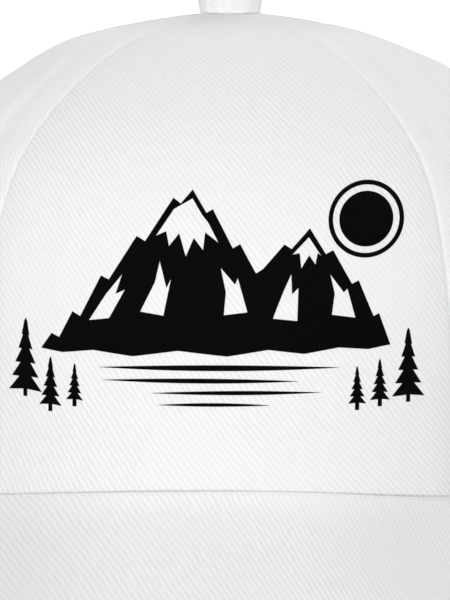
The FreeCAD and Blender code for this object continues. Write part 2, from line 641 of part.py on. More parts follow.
for number, step in enumerate((-1, 0, 1), start=1):
    turn = step * size("tooth_pitch_turn")
    tooth = bind(doc.addObject("Part::Prism", f"tooth_{number}"), {
        "Circumradius": "Sizes.tooth_height",
        "Height": f"{LEVER_HIGH} - {LEVER_LOW}",
        "Placement.Base.x": f"{PIN_ALONG} + Sizes.barrel_radius * sin({turn})",
        "Placement.Base.y": f"{PIN_OUT} - Sizes.barrel_radius * cos({turn})",
        "Placement.Base.z": LEVER_LOW,
    })
    tooth.Polygon = 3
    tooth.Placement.Rotation = Rotation(Z_AXIS, turn - 90)
    teeth.append(tooth)
lever_bore = rod(
    "lever_bore", PIN_ALONG, PIN_OUT, f"-{FAR}", FAR, "Sizes.pin_radius + Sizes.pin_bore_clearance")
lever_blank = boolean("Fuse", "lever_blank", lever, lip, barrel, *teeth)
lever_shape = boolean("Common", "lever_shape", lever_blank, tongue(
    "lever_tongue", (f"-{FAR}", "0", LEVER_LOW), (f"{LEVER_END} + {LIP_RADIUS}", FAR, LEVER_HIGH),
    "Sizes.lever_corner_radius"))
pieces["buckle_lever"] = boolean("Cut", "buckle_lever", lever_shape, lever_bore)

# The tab: sewn in beside the opening, pulled straight to the buckle and round its bar.
TAB_KNEE = "Sizes.opening_half_width"
tab_wall = oval_wall("tab_wall", STRAP_OUTSIDE, STRAP_INSIDE, STRAP_LOW, STRAP_HIGH)
tab_run = box("tab_run", (TAB_KNEE, "0", "0"), ("Sizes.strap_sewn_reach", FAR, FAR))
tab_sewn = boolean("Common", "tab_sewn", tab_wall, tab_run)
STRAP_MIDDLE = f"({STRAP_OUTSIDE} + Sizes.strap_thickness / 2)"
KNEE_OUT = out_at(TAB_KNEE, STRAP_MIDDLE)
knee = Vector(value(TAB_KNEE), value(KNEE_OUT), 0)
bar = Vector(value(BAR_ALONG), value(BAR_OUT), 0)
reach = knee - bar
loop_middle = value(f"{LOOP_RADIUS} - Sizes.strap_thickness / 2")
lean = math.degrees(math.atan2(reach.y, reach.x) + math.asin(loop_middle / reach.Length))
straight = bind(doc.addObject("Part::Box", "tab_straight"), {
    "Width": "Sizes.strap_thickness", "Height": "Sizes.strap_width"})
straight.Length = math.sqrt(reach.Length ** 2 - loop_middle ** 2)
bar_seat = Placement(bar + Vector(0, 0, value(STRAP_LOW)), Rotation(Z_AXIS, lean))
straight.Placement = bar_seat * Placement(Vector(0, -value(LOOP_RADIUS), 0), Rotation())
knee_rod = rod("tab_knee", TAB_KNEE, KNEE_OUT, STRAP_LOW, STRAP_HIGH, "Sizes.strap_thickness / 2")
loop = boolean(
    "Cut", "tab_loop", rod("loop_out", BAR_ALONG, BAR_OUT, STRAP_LOW, STRAP_HIGH, LOOP_RADIUS),
    rod("loop_in", BAR_ALONG, BAR_OUT, STRAP_LOW, STRAP_HIGH, f"{LOOP_RADIUS} - Sizes.strap_thickness"))
pieces["strap_tab"] = boolean("Fuse", "strap_tab", tab_sewn, straight, knee_rod, loop)

# --- how the cap lies on a table --------------------------------------------------------------------

doc.recompute()


def lowest(points, turn):
    """Lowest height of some points once they are turned about the X axis."""
    return min(point.y * math.sin(turn) + point.z * math.cos(turn) for point in points)


def resting_turn(front_points, rear_points):
    """The turn about X at which the brim and the crown's rear edge reach equally low."""
    low, high = math.radians(-30), math.radians(30)
    for _ in range(50):
        turn = (low + high) / 2
        if lowest(front_points, turn) < lowest(rear_points, turn):
            high = turn
        else:
            low = turn
    return (low + high) / 2


brim_points = pieces["brim_under_cover"].Shape.tessellate(FACETS)[0]
rear_points = []
for name in ("back_panel_left", "back_panel_right"):
    rear_points += pieces[name].Shape.tessellate(FACETS)[0]
turn = resting_turn(brim_points, rear_points)
laid = Placement(Vector(), Rotation(X_AXIS, math.degrees(turn)))
all_points = [
    laid.multVec(point) for piece in pieces.values() for point in piece.Shape.tessellate(FACETS)[0]
]
lows = [min(getattr(point, axis) for point in all_points) for axis in "xyz"]
highs = [max(getattr(point, axis) for point in all_points) for axis in "xyz"]
down = Vector(0, -(lows[1] + highs[1]) / 2, -lows[2])
rest = Placement(down, Rotation()) * laid

for name, piece in pieces.items():
    piece.Label = name
    piece.Placement = rest * piece.Placement
doc.recompute()

# --- checks and files -------------------------------------------------------------------------------

for feature in doc.Objects:
    if {"Invalid", "Error"} & set(feature.State):
        raise RuntimeError(f"{feature.Name} did not build: {feature.State}")
os.makedirs("parts", exist_ok=True)
for name, piece in pieces.items():
    if piece.Shape.isNull() or not piece.Shape.isValid():
        raise RuntimeError(f"{name} has no valid shape")
    piece.Shape.exportStep(f"parts/{name}.step")
print("cap turned by", round(math.degrees(turn), 4), "moved by", tuple(round(v, 4) for v in down))
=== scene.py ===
import json
import math

import bmesh
import bpy
import numpy as np
from mathutils import Matrix, Vector


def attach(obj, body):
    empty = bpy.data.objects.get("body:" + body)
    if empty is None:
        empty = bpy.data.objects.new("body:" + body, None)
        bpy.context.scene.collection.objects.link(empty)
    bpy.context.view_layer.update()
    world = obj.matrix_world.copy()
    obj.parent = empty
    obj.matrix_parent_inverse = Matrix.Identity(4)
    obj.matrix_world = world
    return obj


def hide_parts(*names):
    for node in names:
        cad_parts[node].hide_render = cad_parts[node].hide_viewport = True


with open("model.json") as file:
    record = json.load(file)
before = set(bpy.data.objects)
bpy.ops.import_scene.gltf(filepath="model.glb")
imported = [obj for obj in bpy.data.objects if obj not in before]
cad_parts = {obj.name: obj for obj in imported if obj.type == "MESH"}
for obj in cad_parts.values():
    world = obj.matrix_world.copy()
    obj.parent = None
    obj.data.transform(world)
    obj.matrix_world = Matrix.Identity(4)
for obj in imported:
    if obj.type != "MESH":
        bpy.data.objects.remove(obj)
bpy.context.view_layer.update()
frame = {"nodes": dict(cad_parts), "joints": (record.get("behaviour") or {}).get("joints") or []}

bl_info = {
    "name": "Five-panel cap",
    "version": (1, 0, 0),
    "blender": (4, 5, 0),
    "location": "View3D > Sidebar > Cap",
    "description": "A structured twill cap: panels, brim, button, eyelets, inside tapes, strap and buckle",
    "category": "Add Mesh",
}

MM = 0.001

# The cap is drawn about the middle of its crown, on the plane of the crown's lower edge, front at -Y.
# The crown's level ovals: height, reach across and reach along, as shares of its height and half-axes.
LEVELS = (
    (0.0, 1.0, 1.0),
    (0.12, 1.0, 1.0),
    (0.26, 1.0, 1.0),
    (0.51, 0.995, 0.935),
    (0.725, 0.867, 0.785),
    (0.867, 0.637, 0.59),
    (0.948, 0.423, 0.40),
    (0.987, 0.205, 0.196),
    (1.0, 0.06, 0.057),
    (1.0005, 0.02, 0.02),
)
PANEL_HUB = 2.4 * MM             # the panels stop this far from the crown's axis, under the button
FRONT_SEED, FRONT_SOFT = 3, 0.12   # the front panel's swell, which the print follows
BRIM_ROWS = 4.2 * MM, 9.4 * MM   # rows of stitches, from the brim's edge
ARCH_ROW = 3.2 * MM              # row of stitches, from the opening's edge
TAPE_ROW = 1.5 * MM              # rows of stitches, from a tape's edges
STRAP_ROW = 2.2 * MM             # rows of stitches, from the strap's edges
HEM = 1.2 * MM                   # cloth turned under along the binding's edges
POCKET_ROOM = 1.2 * MM           # round the strap's sewn ends, behind the sweatband
POCKET_DEPTH = 1.5 * MM
STRAP_THREAD = 0.18 * MM         # radius of the strap's thread
SHADOW_ENDS = 0.22, 0.5          # metres from the cap between which the floor turns plain white
WHITE = (1.0, 1.0, 1.0, 1.0)


# --- sizes and colours a user would change -------------------------------------------------------


def length(name, description, millimetres):
    """A property for a length, written in millimetres."""
    return bpy.props.FloatProperty(
        name=name, description=description, default=millimetres * MM, min=0.0, unit="LENGTH", precision=5)


def turn(name, description, degrees):
    """A property for an angle, written in degrees."""
    return bpy.props.FloatProperty(
        name=name, description=description, default=math.radians(degrees), unit="ROTATION")


def colour(name, description, value):
    """A property for a colour, in linear light."""
    return bpy.props.FloatVectorProperty(
        name=name, description=description, default=value, size=3, min=0.0, max=1.0, subtype="COLOR")


def share(name, description, value):
    """A property for a share between none and all."""
    return bpy.props.FloatProperty(
        name=name, description=description, default=value, min=0.0, max=1.0, subtype="FACTOR")


class CapCrown(bpy.types.PropertyGroup):
    """The crown's form and its cloth."""
    half_width: length("Half width", "From the middle to the crown's side", 84.0)
    half_length: length("Half length", "From the middle to the crown's front", 101.0)
    height: length("Height", "From the lower edge to the top", 108.0)
    front_seam: turn("Front seams", "Azimuth of the front panel's seams", 33.0)
    fold: length("Folds", "Depth of the two soft folds beside each front seam", 0.55)
    seam_bow: turn("Seam bow", "How far the two front seams bow outwards above the edge", 2.9)
    rear_seam: turn("Rear seams", "Azimuth of the seams between side and back panels", 111.0)
    cloth: length("Cloth thickness", "Thickness of a panel", 1.0)
    valley: length("Seam depth", "How deep the panels sink into their seams", 0.75)
    edge_roll: length("Edge roll", "Radius of the turned-in lower edge", 0.5)
    softness: length("Softness", "Depth of the soft hollows in the side and back panels", 1.0)


class CapInside(bpy.types.PropertyGroup):
    """What lines the crown."""
    lining_depth: length("Lining depth", "From the crown's face to the lining", 1.25)
    lining: length("Lining thickness", "Thickness of lining, tapes and binding", 0.6)
    lining_margin: length("Lining margin", "From the front seams to the lining's edge", 6.0)
    lining_hub: length("Lining hub", "The lining stops round the button at this radius", 12.5)
    tape_width: length("Tape width", "Width of the tapes over the seams", 11.0)
    tape_hub: length("Tape hub", "The tapes stop round the button at this radius", 11.0)
    band_depth: length("Band depth", "From the crown's face to the sweatband", 2.1)
    band: length("Band thickness", "Thickness of the sweatband", 2.4)
    band_height: length("Band height", "Height of the sweatband's upper edge", 30.0)
    band_setback: length("Band setback", "From the opening's edge to the sweatband's ends", 4.5)
    binding: length("Binding width", "Width of the binding round the opening", 8.0)
    binding_run: length("Binding length", "Length of the binding round the opening", 140.0)


class CapOpening(bpy.types.PropertyGroup):
    """The arched opening at the back and the strap across it."""
    half_width: length("Half width", "From the middle to the opening's side", 38.0)
    height: length("Height", "Top of the opening", 50.0)
    strap_width: length("Strap width", "Width of the strap", 20.0)
    strap: length("Strap thickness", "Thickness of the strap", 1.0)
    strap_rise: length("Strap rise", "From the crown's edge to the strap's lower edge", 7.0)
    strap_depth: length("Strap depth", "From the crown's face to the strap", 2.35)
    sewn_reach: length("Sewn reach", "From the middle to the strap's sewn ends", 56.0)
    tail: length("Tail reach", "From the middle to the strap's free end", 22.0)
    tail_corner: length("Tail corner", "Radius of the corners of the strap's free end", 6.5)
    bar_at: length("Bar offset", "From the middle to the bar that holds the tab", 15.0)
    bar: length("Bar radius", "Radius of the bar", 0.9)
    pin_at: length("Pin offset", "From the middle to the lever's pin", 6.0)
    pin_lift: length("Pin lift", "From the strap's outer face to the pin's middle", 2.5)


class CapBrim(bpy.types.PropertyGroup):
    """The curved brim."""
    reach: length("Length", "From the crown to the brim's tip", 70.0)
    half_width: length("Half width", "From the middle to the brim's side", 77.0)
    end_half_width: length("Half width at the ends", "Where the brim's ends meet the crown", 75.0)
    tip: length("Tip radius", "Radius of the front edge", 125.0)
    corner: length("Corner radius", "Radius of the two corners", 52.0)
    root: length("Root height", "Height of the brim's root in the middle", 4.4)
    root_depth: length("Root depth", "From the crown's face in to the covers' root edge", 1.85)
    slope: turn("Slope", "How steeply the brim falls", 23.0)
    bend: length("Bend radius", "Radius on which the brim is bent", 120.0)
    puff: length("Puff", "How far the upper cover puffs up in front of the crown", 0.7)
    cover: length("Cover thickness", "Thickness of the upper and lower covers", 1.4)
    gap: length("Gap", "Air between sewn layers", 0.25)


class CapButton(bpy.types.PropertyGroup):
    """The covered button and the sewn eyelets."""
    radius: length("Radius", "Radius of the button", 7.5)
    height: length("Height", "Height of the button", 7.0)
    pleat: length("Pleats", "Depth of the gathers round the button's foot", 0.2)
    eyelet: length("Eyelet radius", "Radius of the sewn ring", 5.0)
    eyelet_bore: length("Eyelet hole", "Radius of the hole in the ring", 2.2)
    eyelet_neck: length("Eyelet neck", "Width of the sewn ring where it goes through the cloth", 1.2)
    eyelet_drop: length("Eyelet drop", "From the top of the crown down to the eyelets", 42.0)


class CapCloth(bpy.types.PropertyGroup):
    """Colours and weave."""
    white: colour("White twill", "Colour of the crown and the strap", (0.86, 0.862, 0.868))
    # Painted light: the brim's twill is the crown's white cloth, made lighter for light the brim lacks.
    bright: colour("Brim twill", "Colour of the tightly drawn cloth on the brim", (0.91, 0.912, 0.917))
    # Painted light: the button's cloth is the crown's white twill, made lighter for light the button lacks.
    button: colour("Button twill", "Colour of the cloth drawn over the button", (0.93, 0.932, 0.938))
    net: colour("Buckram", "Colour of the stiff net behind the front panel", (0.76, 0.75, 0.72))
    tape: colour("Tape", "Colour of the seam tapes and binding", (0.83, 0.83, 0.83))
    band: colour("Sweatband", "Colour of the sweatband", (0.82, 0.818, 0.81))
    thread: colour("Thread", "Colour of the sewing thread", (0.87, 0.87, 0.87))
    ink: colour("Print", "Colour of the print", (0.0015, 0.0015, 0.0016))
    brass: colour("Buckle", "Colour of the aged brass", (0.36, 0.25, 0.115))
    steel: colour("Button plate", "Colour of the button's plate", (0.55, 0.55, 0.54))
    pitch: length("Twill pitch", "From one diagonal ridge to the next", 1.15)
    lean: turn("Twill lean", "Angle of the ridges above the level", 55.0)
    relief: length("Twill relief", "Height of the ridges", 0.07)
    brim_pitch: length("Brim twill pitch", "From one ridge to the next in the cloth drawn over the brim", 1.3)
    brim_lean: turn("Brim twill lean", "Angle of the ridges across the brim", 69.0)


class CapPrint(bpy.types.PropertyGroup):
    """The print on the front panel."""
    width: length("Width", "Width of the printed view", 92.0)
    height: length("Height", "Middle of the print above the crown's edge", 47.0)
    film: length("Film", "How far the print stands off the cloth", 0.06)


class CapStage(bpy.types.PropertyGroup):
    """Camera, light and floor."""
    distance: length("Distance", "From the aim to the camera", 1200.0)
    lens: bpy.props.FloatProperty(name="Lens", description="Focal length", default=299.1, unit="CAMERA")
    aim: length("Aim height", "Height of the aim above the crown's edge", 38.8)
    aside: bpy.props.FloatProperty(
        name="Aim aside", description="Aim to the side of the middle", default=-0.001267, unit="LENGTH")
    yaw: turn("Yaw", "Turn of the camera about the cap", 2.172)
    pitch: turn("Pitch", "Rise of the camera above the crown's level", 4.764)
    world: share("World light", "Strength of the soft light from all sides, half way up", 0.84)
    world_low: share("World light below", "Strength of that light at the horizon and below it", 0.46)
    world_high: share("World light above", "Strength of that light straight above", 0.0)
    lamp: bpy.props.FloatProperty(
        name="Lamp", description="Power of the large front lamp", default=17.1, unit="POWER")


GROUPS = {
    "cap_crown": CapCrown, "cap_inside": CapInside, "cap_opening": CapOpening, "cap_brim": CapBrim,
    "cap_button": CapButton, "cap_cloth": CapCloth, "cap_print": CapPrint, "cap_stage": CapStage,
}


# --- lines and shares ----------------------------------------------------------------------------


def stack(*parts):
    """Rows of coordinates from their columns."""
    return np.stack(np.broadcast_arrays(*parts), axis=-1)


def unit(vectors):
    """The vectors at a length of one."""
    return vectors / np.maximum(np.linalg.norm(vectors, axis=-1, keepdims=True), 1e-12)


def polar(out, azimuth):
    """How far across and along a place is that lies this far from the axis."""
    return out * np.sin(azimuth), -out * np.cos(azimuth)


def run_of(line):
    """How far along a line each of its points is."""
    return np.concatenate([[0], np.cumsum(np.linalg.norm(np.diff(line, axis=0), axis=1))])


def sample(line, at, run):
    """Points of a line at the places of a run along it."""
    return np.stack([np.interp(at, run, column) for column in line.T], axis=-1)


def resample(line, count):
    """The line again with evenly spaced points."""
    run = run_of(line)
    return sample(line, np.linspace(0, run[-1], count), run)


def along_line(line, shares):
    """Points at shares of an evenly spaced line's length."""
    return sample(line, shares * (len(line) - 1), np.arange(len(line)))


def apart(points, line, batch=2000):
    """How far each point is from a line."""
    start, way = line[:-1], np.diff(line, axis=0)
    squared = np.maximum((way ** 2).sum(1), 1e-18)
    best = []
    for low in range(0, len(points), batch):
        off = points[low:low + batch, None] - start[None]
        along = np.clip((off * way).sum(-1) / squared, 0, 1)
        best.append(np.linalg.norm(off - along[..., None] * way, axis=-1).min(1))
    return np.concatenate(best)


def smooth(value, low, high):
    """0 below low, 1 above high, and a smooth step between."""
    at = np.clip((value - low) / (high - low), 0, 1)
    return at * at * (3 - 2 * at)


def bell(distance, width):
    """1 at no distance, falling away like a bell."""
    return np.exp(-(distance / width) ** 2)


def fade(distance, reach):
    """1 at no distance, fading with it."""
    return np.exp(-distance / reach)


def crowd(value, ends=0.8):
    """Shares drawn towards both ends."""
    return value - ends * np.sin(2 * math.pi * value) / (2 * math.pi)


def rounding(distance, radius):
    """How far a rounded edge of this radius falls away at a distance from its end."""
    near = np.clip(radius - distance, 0, radius)
    return radius - np.sqrt(np.maximum(radius ** 2 - near ** 2, 0))


def waves(points, seed, scale, count=7):
    """A gentle random swell over places in metres, between about -1 and 1, always the same for a seed."""
    draw = np.random.default_rng(seed)
    total = 0
    for _ in range(count):
        heading = draw.uniform(0, 2 * math.pi)
        stretch = draw.uniform(0.6, 1.6) / scale
        phase = draw.uniform(0, 2 * math.pi)
        place = points[..., 0] * math.cos(heading) + points[..., 1] * math.sin(heading)
        total = total + np.sin(2 * math.pi * stretch * place + phase)
    return total / math.sqrt(count)


# --- forms ---------------------------------------------------------------------------------------


class Spline:
    """A natural cubic spline through values at knots."""

    def __init__(self, knots, values):
        self.knots, self.values = np.array(knots, float), np.array(values, float)
        step = np.diff(self.knots)
        slope = np.diff(self.values) / step
        matrix, right = np.eye(len(knots)), np.zeros(len(knots))
        for i in range(1, len(knots) - 1):
            matrix[i, i - 1:i + 2] = step[i - 1], 2 * (step[i - 1] + step[i]), step[i]
            right[i] = 6 * (slope[i] - slope[i - 1])
        self.bends = np.linalg.solve(matrix, right)

    def __call__(self, at):
        at = np.clip(at, self.knots[0], self.knots[-1])
        i = np.clip(np.searchsorted(self.knots, at, "right") - 1, 0, len(self.knots) - 2)
        step = self.knots[i + 1] - self.knots[i]
        low, high = (self.knots[i + 1] - at) / step, (at - self.knots[i]) / step
        return (low * self.values[i] + high * self.values[i + 1]
                + ((low ** 3 - low) * self.bends[i] + (high ** 3 - high) * self.bends[i + 1]) * step ** 2 / 6)


class BrimForm:
    """The brim's upper face: a tube that falls towards the front, cut to a rounded outline."""

    def __init__(self, brim, crown):
        self.brim, self.crown = brim, crown
        self.end = -crown.half_length * math.sqrt(1 - (brim.end_half_width / crown.half_width) ** 2)
        self.thick = 2 * brim.cover + brim.gap

    def height(self, across, along, lift=0.0):
        """Height of the face over a place, or of a face parallel to it."""
        brim = self.brim
        sag = brim.bend - np.sqrt(np.maximum((brim.bend + lift) ** 2 - np.asarray(across) ** 2, 0))
        rise = (along + self.crown.half_length) * math.tan(brim.slope)
        return brim.root + rise - sag / math.cos(brim.slope)

    def at(self, plan, depth):
        """The point on the face above a place of the plan, sunk by the depth."""
        lean = plan[..., 0] / self.brim.bend
        steep = np.sqrt(np.maximum(1 - lean ** 2, 0))
        normal = stack(lean, -math.sin(self.brim.slope) * steep, math.cos(self.brim.slope) * steep)
        return stack(*plan.T, self.height(*plan.T)) - normal * np.asarray(depth)[..., None]

    def outline(self, inset, count=721):
        """The edge seen from above, drawn in by the inset: from the left end, round the tip, to the right."""
        brim = self.brim
        side, between = brim.half_width - brim.corner, brim.tip - brim.corner
        tip = np.array([0, -self.crown.half_length - brim.reach + brim.tip])
        corner = np.array([side, tip[1] - math.sqrt(between ** 2 - side ** 2)])
        lean = math.atan2(corner[1] - tip[1], corner[0])
        front, bend = np.linspace(-math.pi / 2, lean, 200), np.linspace(lean, 0, 200)
        right = np.concatenate([
            tip + (brim.tip - inset) * stack(np.cos(front), np.sin(front)),
            corner + (brim.corner - inset) * stack(np.cos(bend), np.sin(bend))[1:],
            [[brim.end_half_width - inset, self.end]],
        ])
        return resample(np.concatenate([(right[::-1] * (-1, 1))[:-1], right]), count)

    def root_line(self, inset, count=721):
        """The inner edge seen from above, along the crown's oval drawn in by the inset."""
        wide, long = self.crown.half_width - inset, self.crown.half_length - inset
        half = math.acos(-self.end / long)
        sweep = np.linspace(-half, half, count)
        return resample(stack(wide * np.sin(sweep), -long * np.cos(sweep)), count)

    def cloth(self, plan):
        """Place on the flat cloth."""
        bend = self.brim.bend
        across = bend * np.arcsin(np.clip(plan[..., 0] / bend, -1, 1))
        return stack(across, plan[..., 1] / math.cos(self.brim.slope))


class CrownForm:
    """The crown's face and its cloth. A place is a share of the way up, and an azimuth from the front."""

    def __init__(self, scene):
        crown = self.crown = scene.cap_crown
        self.brim = BrimForm(scene.cap_brim, crown)
        self.wide, self.long, self.height = crown.half_width, crown.half_length, crown.height
        rise, across, along = np.array(LEVELS).T
        half = (self.wide + self.long) / 2
        steps = np.hypot(np.diff(rise) * self.height, np.diff(across + along) / 2 * half)
        knots = np.concatenate([[0], np.cumsum(steps)]) / steps.sum()
        self.rise, self.across, self.along = (Spline(knots, values) for values in (rise, across, along))
        self.table = np.linspace(0, 1, 2001)
        self.heights = np.maximum.accumulate(self.rise(self.table)) * self.height
        self.runs = [
            run_of(stack(self.heights, reach(self.table) * half))
            for reach, half in ((self.along, self.long), (self.across, self.wide))
        ]

    def radius(self, azimuth, up=0.0):
        """How far the face is from the axis."""
        wide, long = self.wide * self.across(up), self.long * self.along(up)
        return 1 / np.sqrt((np.sin(azimuth) / wide) ** 2 + (np.cos(azimuth) / long) ** 2)

    def seam(self, azimuth, up):
        """Where a seam that starts at this azimuth is, part of the way up: the two in front bow outwards."""
        if abs(azimuth) > self.crown.front_seam + 0.01:
            return azimuth
        bow = math.copysign(self.crown.seam_bow, azimuth)
        return azimuth + bow * (0.48 + 0.52 * smooth(up, 0.3, 0.5))

    def run(self, up, azimuth):
        """How far up the face a place is, measured along the cloth."""
        front, side = (np.interp(up, self.table, run) for run in self.runs)
        return front + (side - front) * np.sin(azimuth) ** 2

    def bare(self, up, azimuth):
        """The point itself."""
        return stack(*polar(self.radius(azimuth, up), azimuth), self.rise(up) * self.height)

    def normal(self, up, azimuth, step=1e-4):
        """The outward normal there."""
        across = self.bare(up, azimuth + step) - self.bare(up, azimuth - step)
        along = self.bare(np.minimum(up + step, 1), azimuth) - self.bare(np.maximum(up - step, 0), azimuth)
        return unit(np.cross(across, along))

    def at(self, up, azimuth, lift=0.0):
        """The point lifted off the crown's face, or below it with a negative lift."""
        return self.bare(up, azimuth) + self.normal(up, azimuth) * np.asarray(lift)[..., None]

    def up_at_height(self, height):
        """The share of the way up at a height."""
        return np.interp(height, self.heights, self.table)

    def up_at_hub(self, azimuth, radius):
        """The share of the way up where the face is this far from its axis, near the top."""
        low, high = np.full(np.shape(azimuth), 0.5), np.ones(np.shape(azimuth))
        for _ in range(30):
            middle = (low + high) / 2
            outside = self.radius(azimuth, middle) > radius
            low, high = np.where(outside, middle, low), np.where(outside, high, middle)
        return (low + high) / 2

    def place_at(self, across, height, front=False):
        """The place at this height and this far from the middle, at the back or in front."""
        up = self.up_at_height(height)
        wide, long = self.wide * self.across(up), self.long * self.along(up)
        out = long * np.sqrt(np.maximum(1 - (across / wide) ** 2, 0))
        return up, np.arctan2(across, out if front else -out)

    def lower_edge(self, azimuth, lift=None):
        """Height of the lower edge: on the brim in front, or lifted off it, and level behind it."""
        across, along = polar(self.radius(azimuth), azimuth)
        on_brim = self.brim.height(across, along, self.brim.brim.gap if lift is None else lift)
        return np.where(along < self.brim.end, np.maximum(on_brim, 0), 0)

    def cloth(self, up, azimuth, middle):
        """Place on the flat cloth: level run from the panel's middle line, and run up the panel."""
        return stack(self.radius(azimuth, up) * (azimuth - middle), self.run(up, azimuth))

    def gap(self, up, azimuth, seams):
        """How far places are from the nearest seam."""
        out = self.radius(azimuth, up)
        return np.min([np.abs(azimuth - self.seam(seam, up)) * out for seam in seams], axis=0)

    def sewn(self, cloth, seed, up, azimuth, seams, edge, wide):
        """The outer face's own relief: sunk seams, small puckers beside them and the rolled edge."""
        gap, run = self.gap(up, azimuth, seams), cloth[:, 1]
        lift = -self.crown.valley * (0.45 * bell(gap, 0.7 * MM) + 0.55 * bell(gap, wide))
        lift = lift * smooth(self.radius(azimuth, up), 4 * MM, 16 * MM)
        pucker = np.sin(2 * math.pi * run / (7.5 * MM) + 1.3 * np.sin(run / (9 * MM)) + seed)
        lift += 0.07 * MM * pucker * fade(gap, 3.0 * MM) * (1 - fade(gap, 0.8 * MM))
        return lift - rounding(edge, self.crown.edge_roll)

    def swell(self, cloth, seed, soft, up, azimuth, seams, edge=None):
        """The whole cloth's soft hollows, fading out at seams, edges and the top."""
        if edge is None:
            edge = self.rise(up) * self.height
        hollows = waves(cloth, seed, 0.06) * 0.5 + waves(cloth, seed + 40, 0.028, 9) * 0.16
        kept = smooth(self.gap(up, azimuth, seams), 2 * MM, 16 * MM) * smooth(edge, 2 * MM, 20 * MM)
        kept = kept * smooth(self.radius(azimuth, up), 12 * MM, 40 * MM)
        return self.crown.softness * soft * hollows * kept

    def eyelet_seats(self, drop):
        """Where each eyelet sits on the crown's face, and the way out from there."""
        level = self.up_at_height(self.height - drop)
        side = (self.crown.front_seam + self.crown.rear_seam) / 2
        back = (self.crown.rear_seam + math.pi) / 2
        seats = {}
        for name, azimuth in (
            ("side_left", -side), ("side_right", side), ("back_left", -back), ("back_right", back),
        ):
            place = np.array([level]), np.array([azimuth])
            seats[name] = Vector(self.bare(*place)[0]), Vector(self.normal(*place)[0])
        return seats


def arch_line(opening, margin, count=600):
    """The opening's outline as seen from behind, widened by a margin: across and height."""
    spring, wide = opening.height - opening.half_width, opening.half_width + margin
    sweep = np.linspace(0, math.pi, 200)
    head = stack(wide * np.cos(sweep), spring + wide * np.sin(sweep))
    return resample(np.concatenate([[[wide, 0]], head, [[-wide, 0]]]), count)


def lay():
    """The turn and shift that lay the drawn cap down as the frame has it, from where the lever's hinge is."""
    opening, crown = bpy.context.scene.cap_opening, bpy.context.scene.cap_crown
    hinge = frame["joints"][0]
    axis = Vector(hinge["axis"])
    tilt = Matrix.Rotation(math.atan2(-axis.y, axis.z), 4, "X")
    drawn = Vector((-opening.pin_at, crown.half_length - opening.strap_depth + opening.pin_lift,
                    opening.strap_rise + opening.strap_width / 2))
    return Matrix.Translation(Vector(hinge["pos_m"]) - tilt @ drawn) @ tilt


# --- meshes --------------------------------------------------------------------------------------


def to_data(mesh, name):
    """A bmesh as mesh data, smooth all over."""
    data = bpy.data.meshes.new(name)
    mesh.to_mesh(data)
    mesh.free()
    data.shade_smooth()
    return data


def read(items, key, width, kind=float):
    """One property of every item of mesh data, as rows of this width."""
    found = np.zeros(len(items) * width, kind)
    items.foreach_get(key, found)
    return found.reshape(-1, width)


def triangles(data, key, values):
    """The three corners of every triangle, looked up in values by vertex or by loop."""
    data.calc_loop_triangles()
    return (values[corner] for corner in read(data.loop_triangles, key, 3, np.int32).T)


def lay_out(data, points, cloth=None, darkening=None):
    """Move mesh data to its points, and write each point's place on the flat cloth and how much darker it is,
    from wear and painted shade.
    """
    data.vertices.foreach_set("co", np.asarray(points, np.float32).ravel())
    if cloth is not None:
        whose = read(data.loops, "vertex_index", 1, np.int32)[:, 0]
        data.uv_layers.new(name="cloth").data.foreach_set("uv", np.asarray(cloth, np.float32)[whose].ravel())
    if darkening is not None:
        data.attributes.new("wear", "FLOAT", "POINT").data.foreach_set("value", np.asarray(darkening, np.float32))
    a, b, c = triangles(data, "vertices", np.asarray(points))
    if (a * np.cross(b, c)).sum() < 0:
        data.flip_normals()
    data.update()


def thicken(mesh, step):
    """Give a flat bmesh a second face behind it, this step away, and close it all round."""
    made = bmesh.ops.extrude_face_region(mesh, geom=mesh.faces[:], use_keep_orig=True)
    behind = [item for item in made["geom"] if isinstance(item, bmesh.types.BMVert)]
    bmesh.ops.translate(mesh, verts=behind, vec=(0, 0, step))


def shell(name, columns, rows, place):
    """A thin closed piece: a grid with a second face behind it. place gets shares across, up and in depth,
    and gives points, places on the flat cloth, and wear."""
    mesh = bmesh.new()
    bmesh.ops.create_grid(mesh, x_segments=columns, y_segments=rows, size=0.5)
    bmesh.ops.translate(mesh, verts=mesh.verts, vec=(0.5, 0.5, 0))
    thicken(mesh, 1)
    bmesh.ops.recalc_face_normals(mesh, faces=mesh.faces[:])
    data = to_data(mesh, name)
    lay_out(data, *place(*np.clip(read(data.vertices, "co", 3), 0, 1).T))
    return data


def pierce(data, seat, axis, radius):
    """Cut a round hole through a thin closed piece, about an axis."""
    mesh = bmesh.new()
    mesh.from_mesh(data)
    axis = axis.normalized()

    def off(point):
        return (point - seat) - axis * (point - seat).dot(axis)

    middles = [(face, face.calc_center_median()) for face in mesh.faces]
    near = [
        face for face, middle in middles
        if (middle - seat).length < 4 * radius and off(middle).length < radius * 1.25]
    bmesh.ops.delete(mesh, geom=near, context="FACES")
    rim = [edge for edge in mesh.edges if edge.is_boundary]
    for corner in {corner for edge in rim for corner in edge.verts}:
        gap = off(corner.co)
        corner.co += gap * (radius / gap.length - 1)
    bmesh.ops.bridge_loops(mesh, edges=rim)
    bmesh.ops.recalc_face_normals(mesh, faces=mesh.faces[:])
    mesh.to_mesh(data)
    mesh.free()
    data.shade_smooth()


def cut_size(data, hem):
    """The width and length, and the area, of a thin closed piece's cloth laid flat, with its hems let out."""
    flat = read(data.uv_layers["cloth"].data, "uv", 2)
    a, b, c = triangles(data, "loops", flat)
    (ax, ay), (bx, by) = (b - a).T, (c - a).T
    doubled = np.abs(ax * by - ay * bx).sum()
    width, tall = np.ptp(flat, axis=0) + 2 * hem
    return (width, tall), min(doubled / 4 + 2 * hem * (width + tall), width * tall)


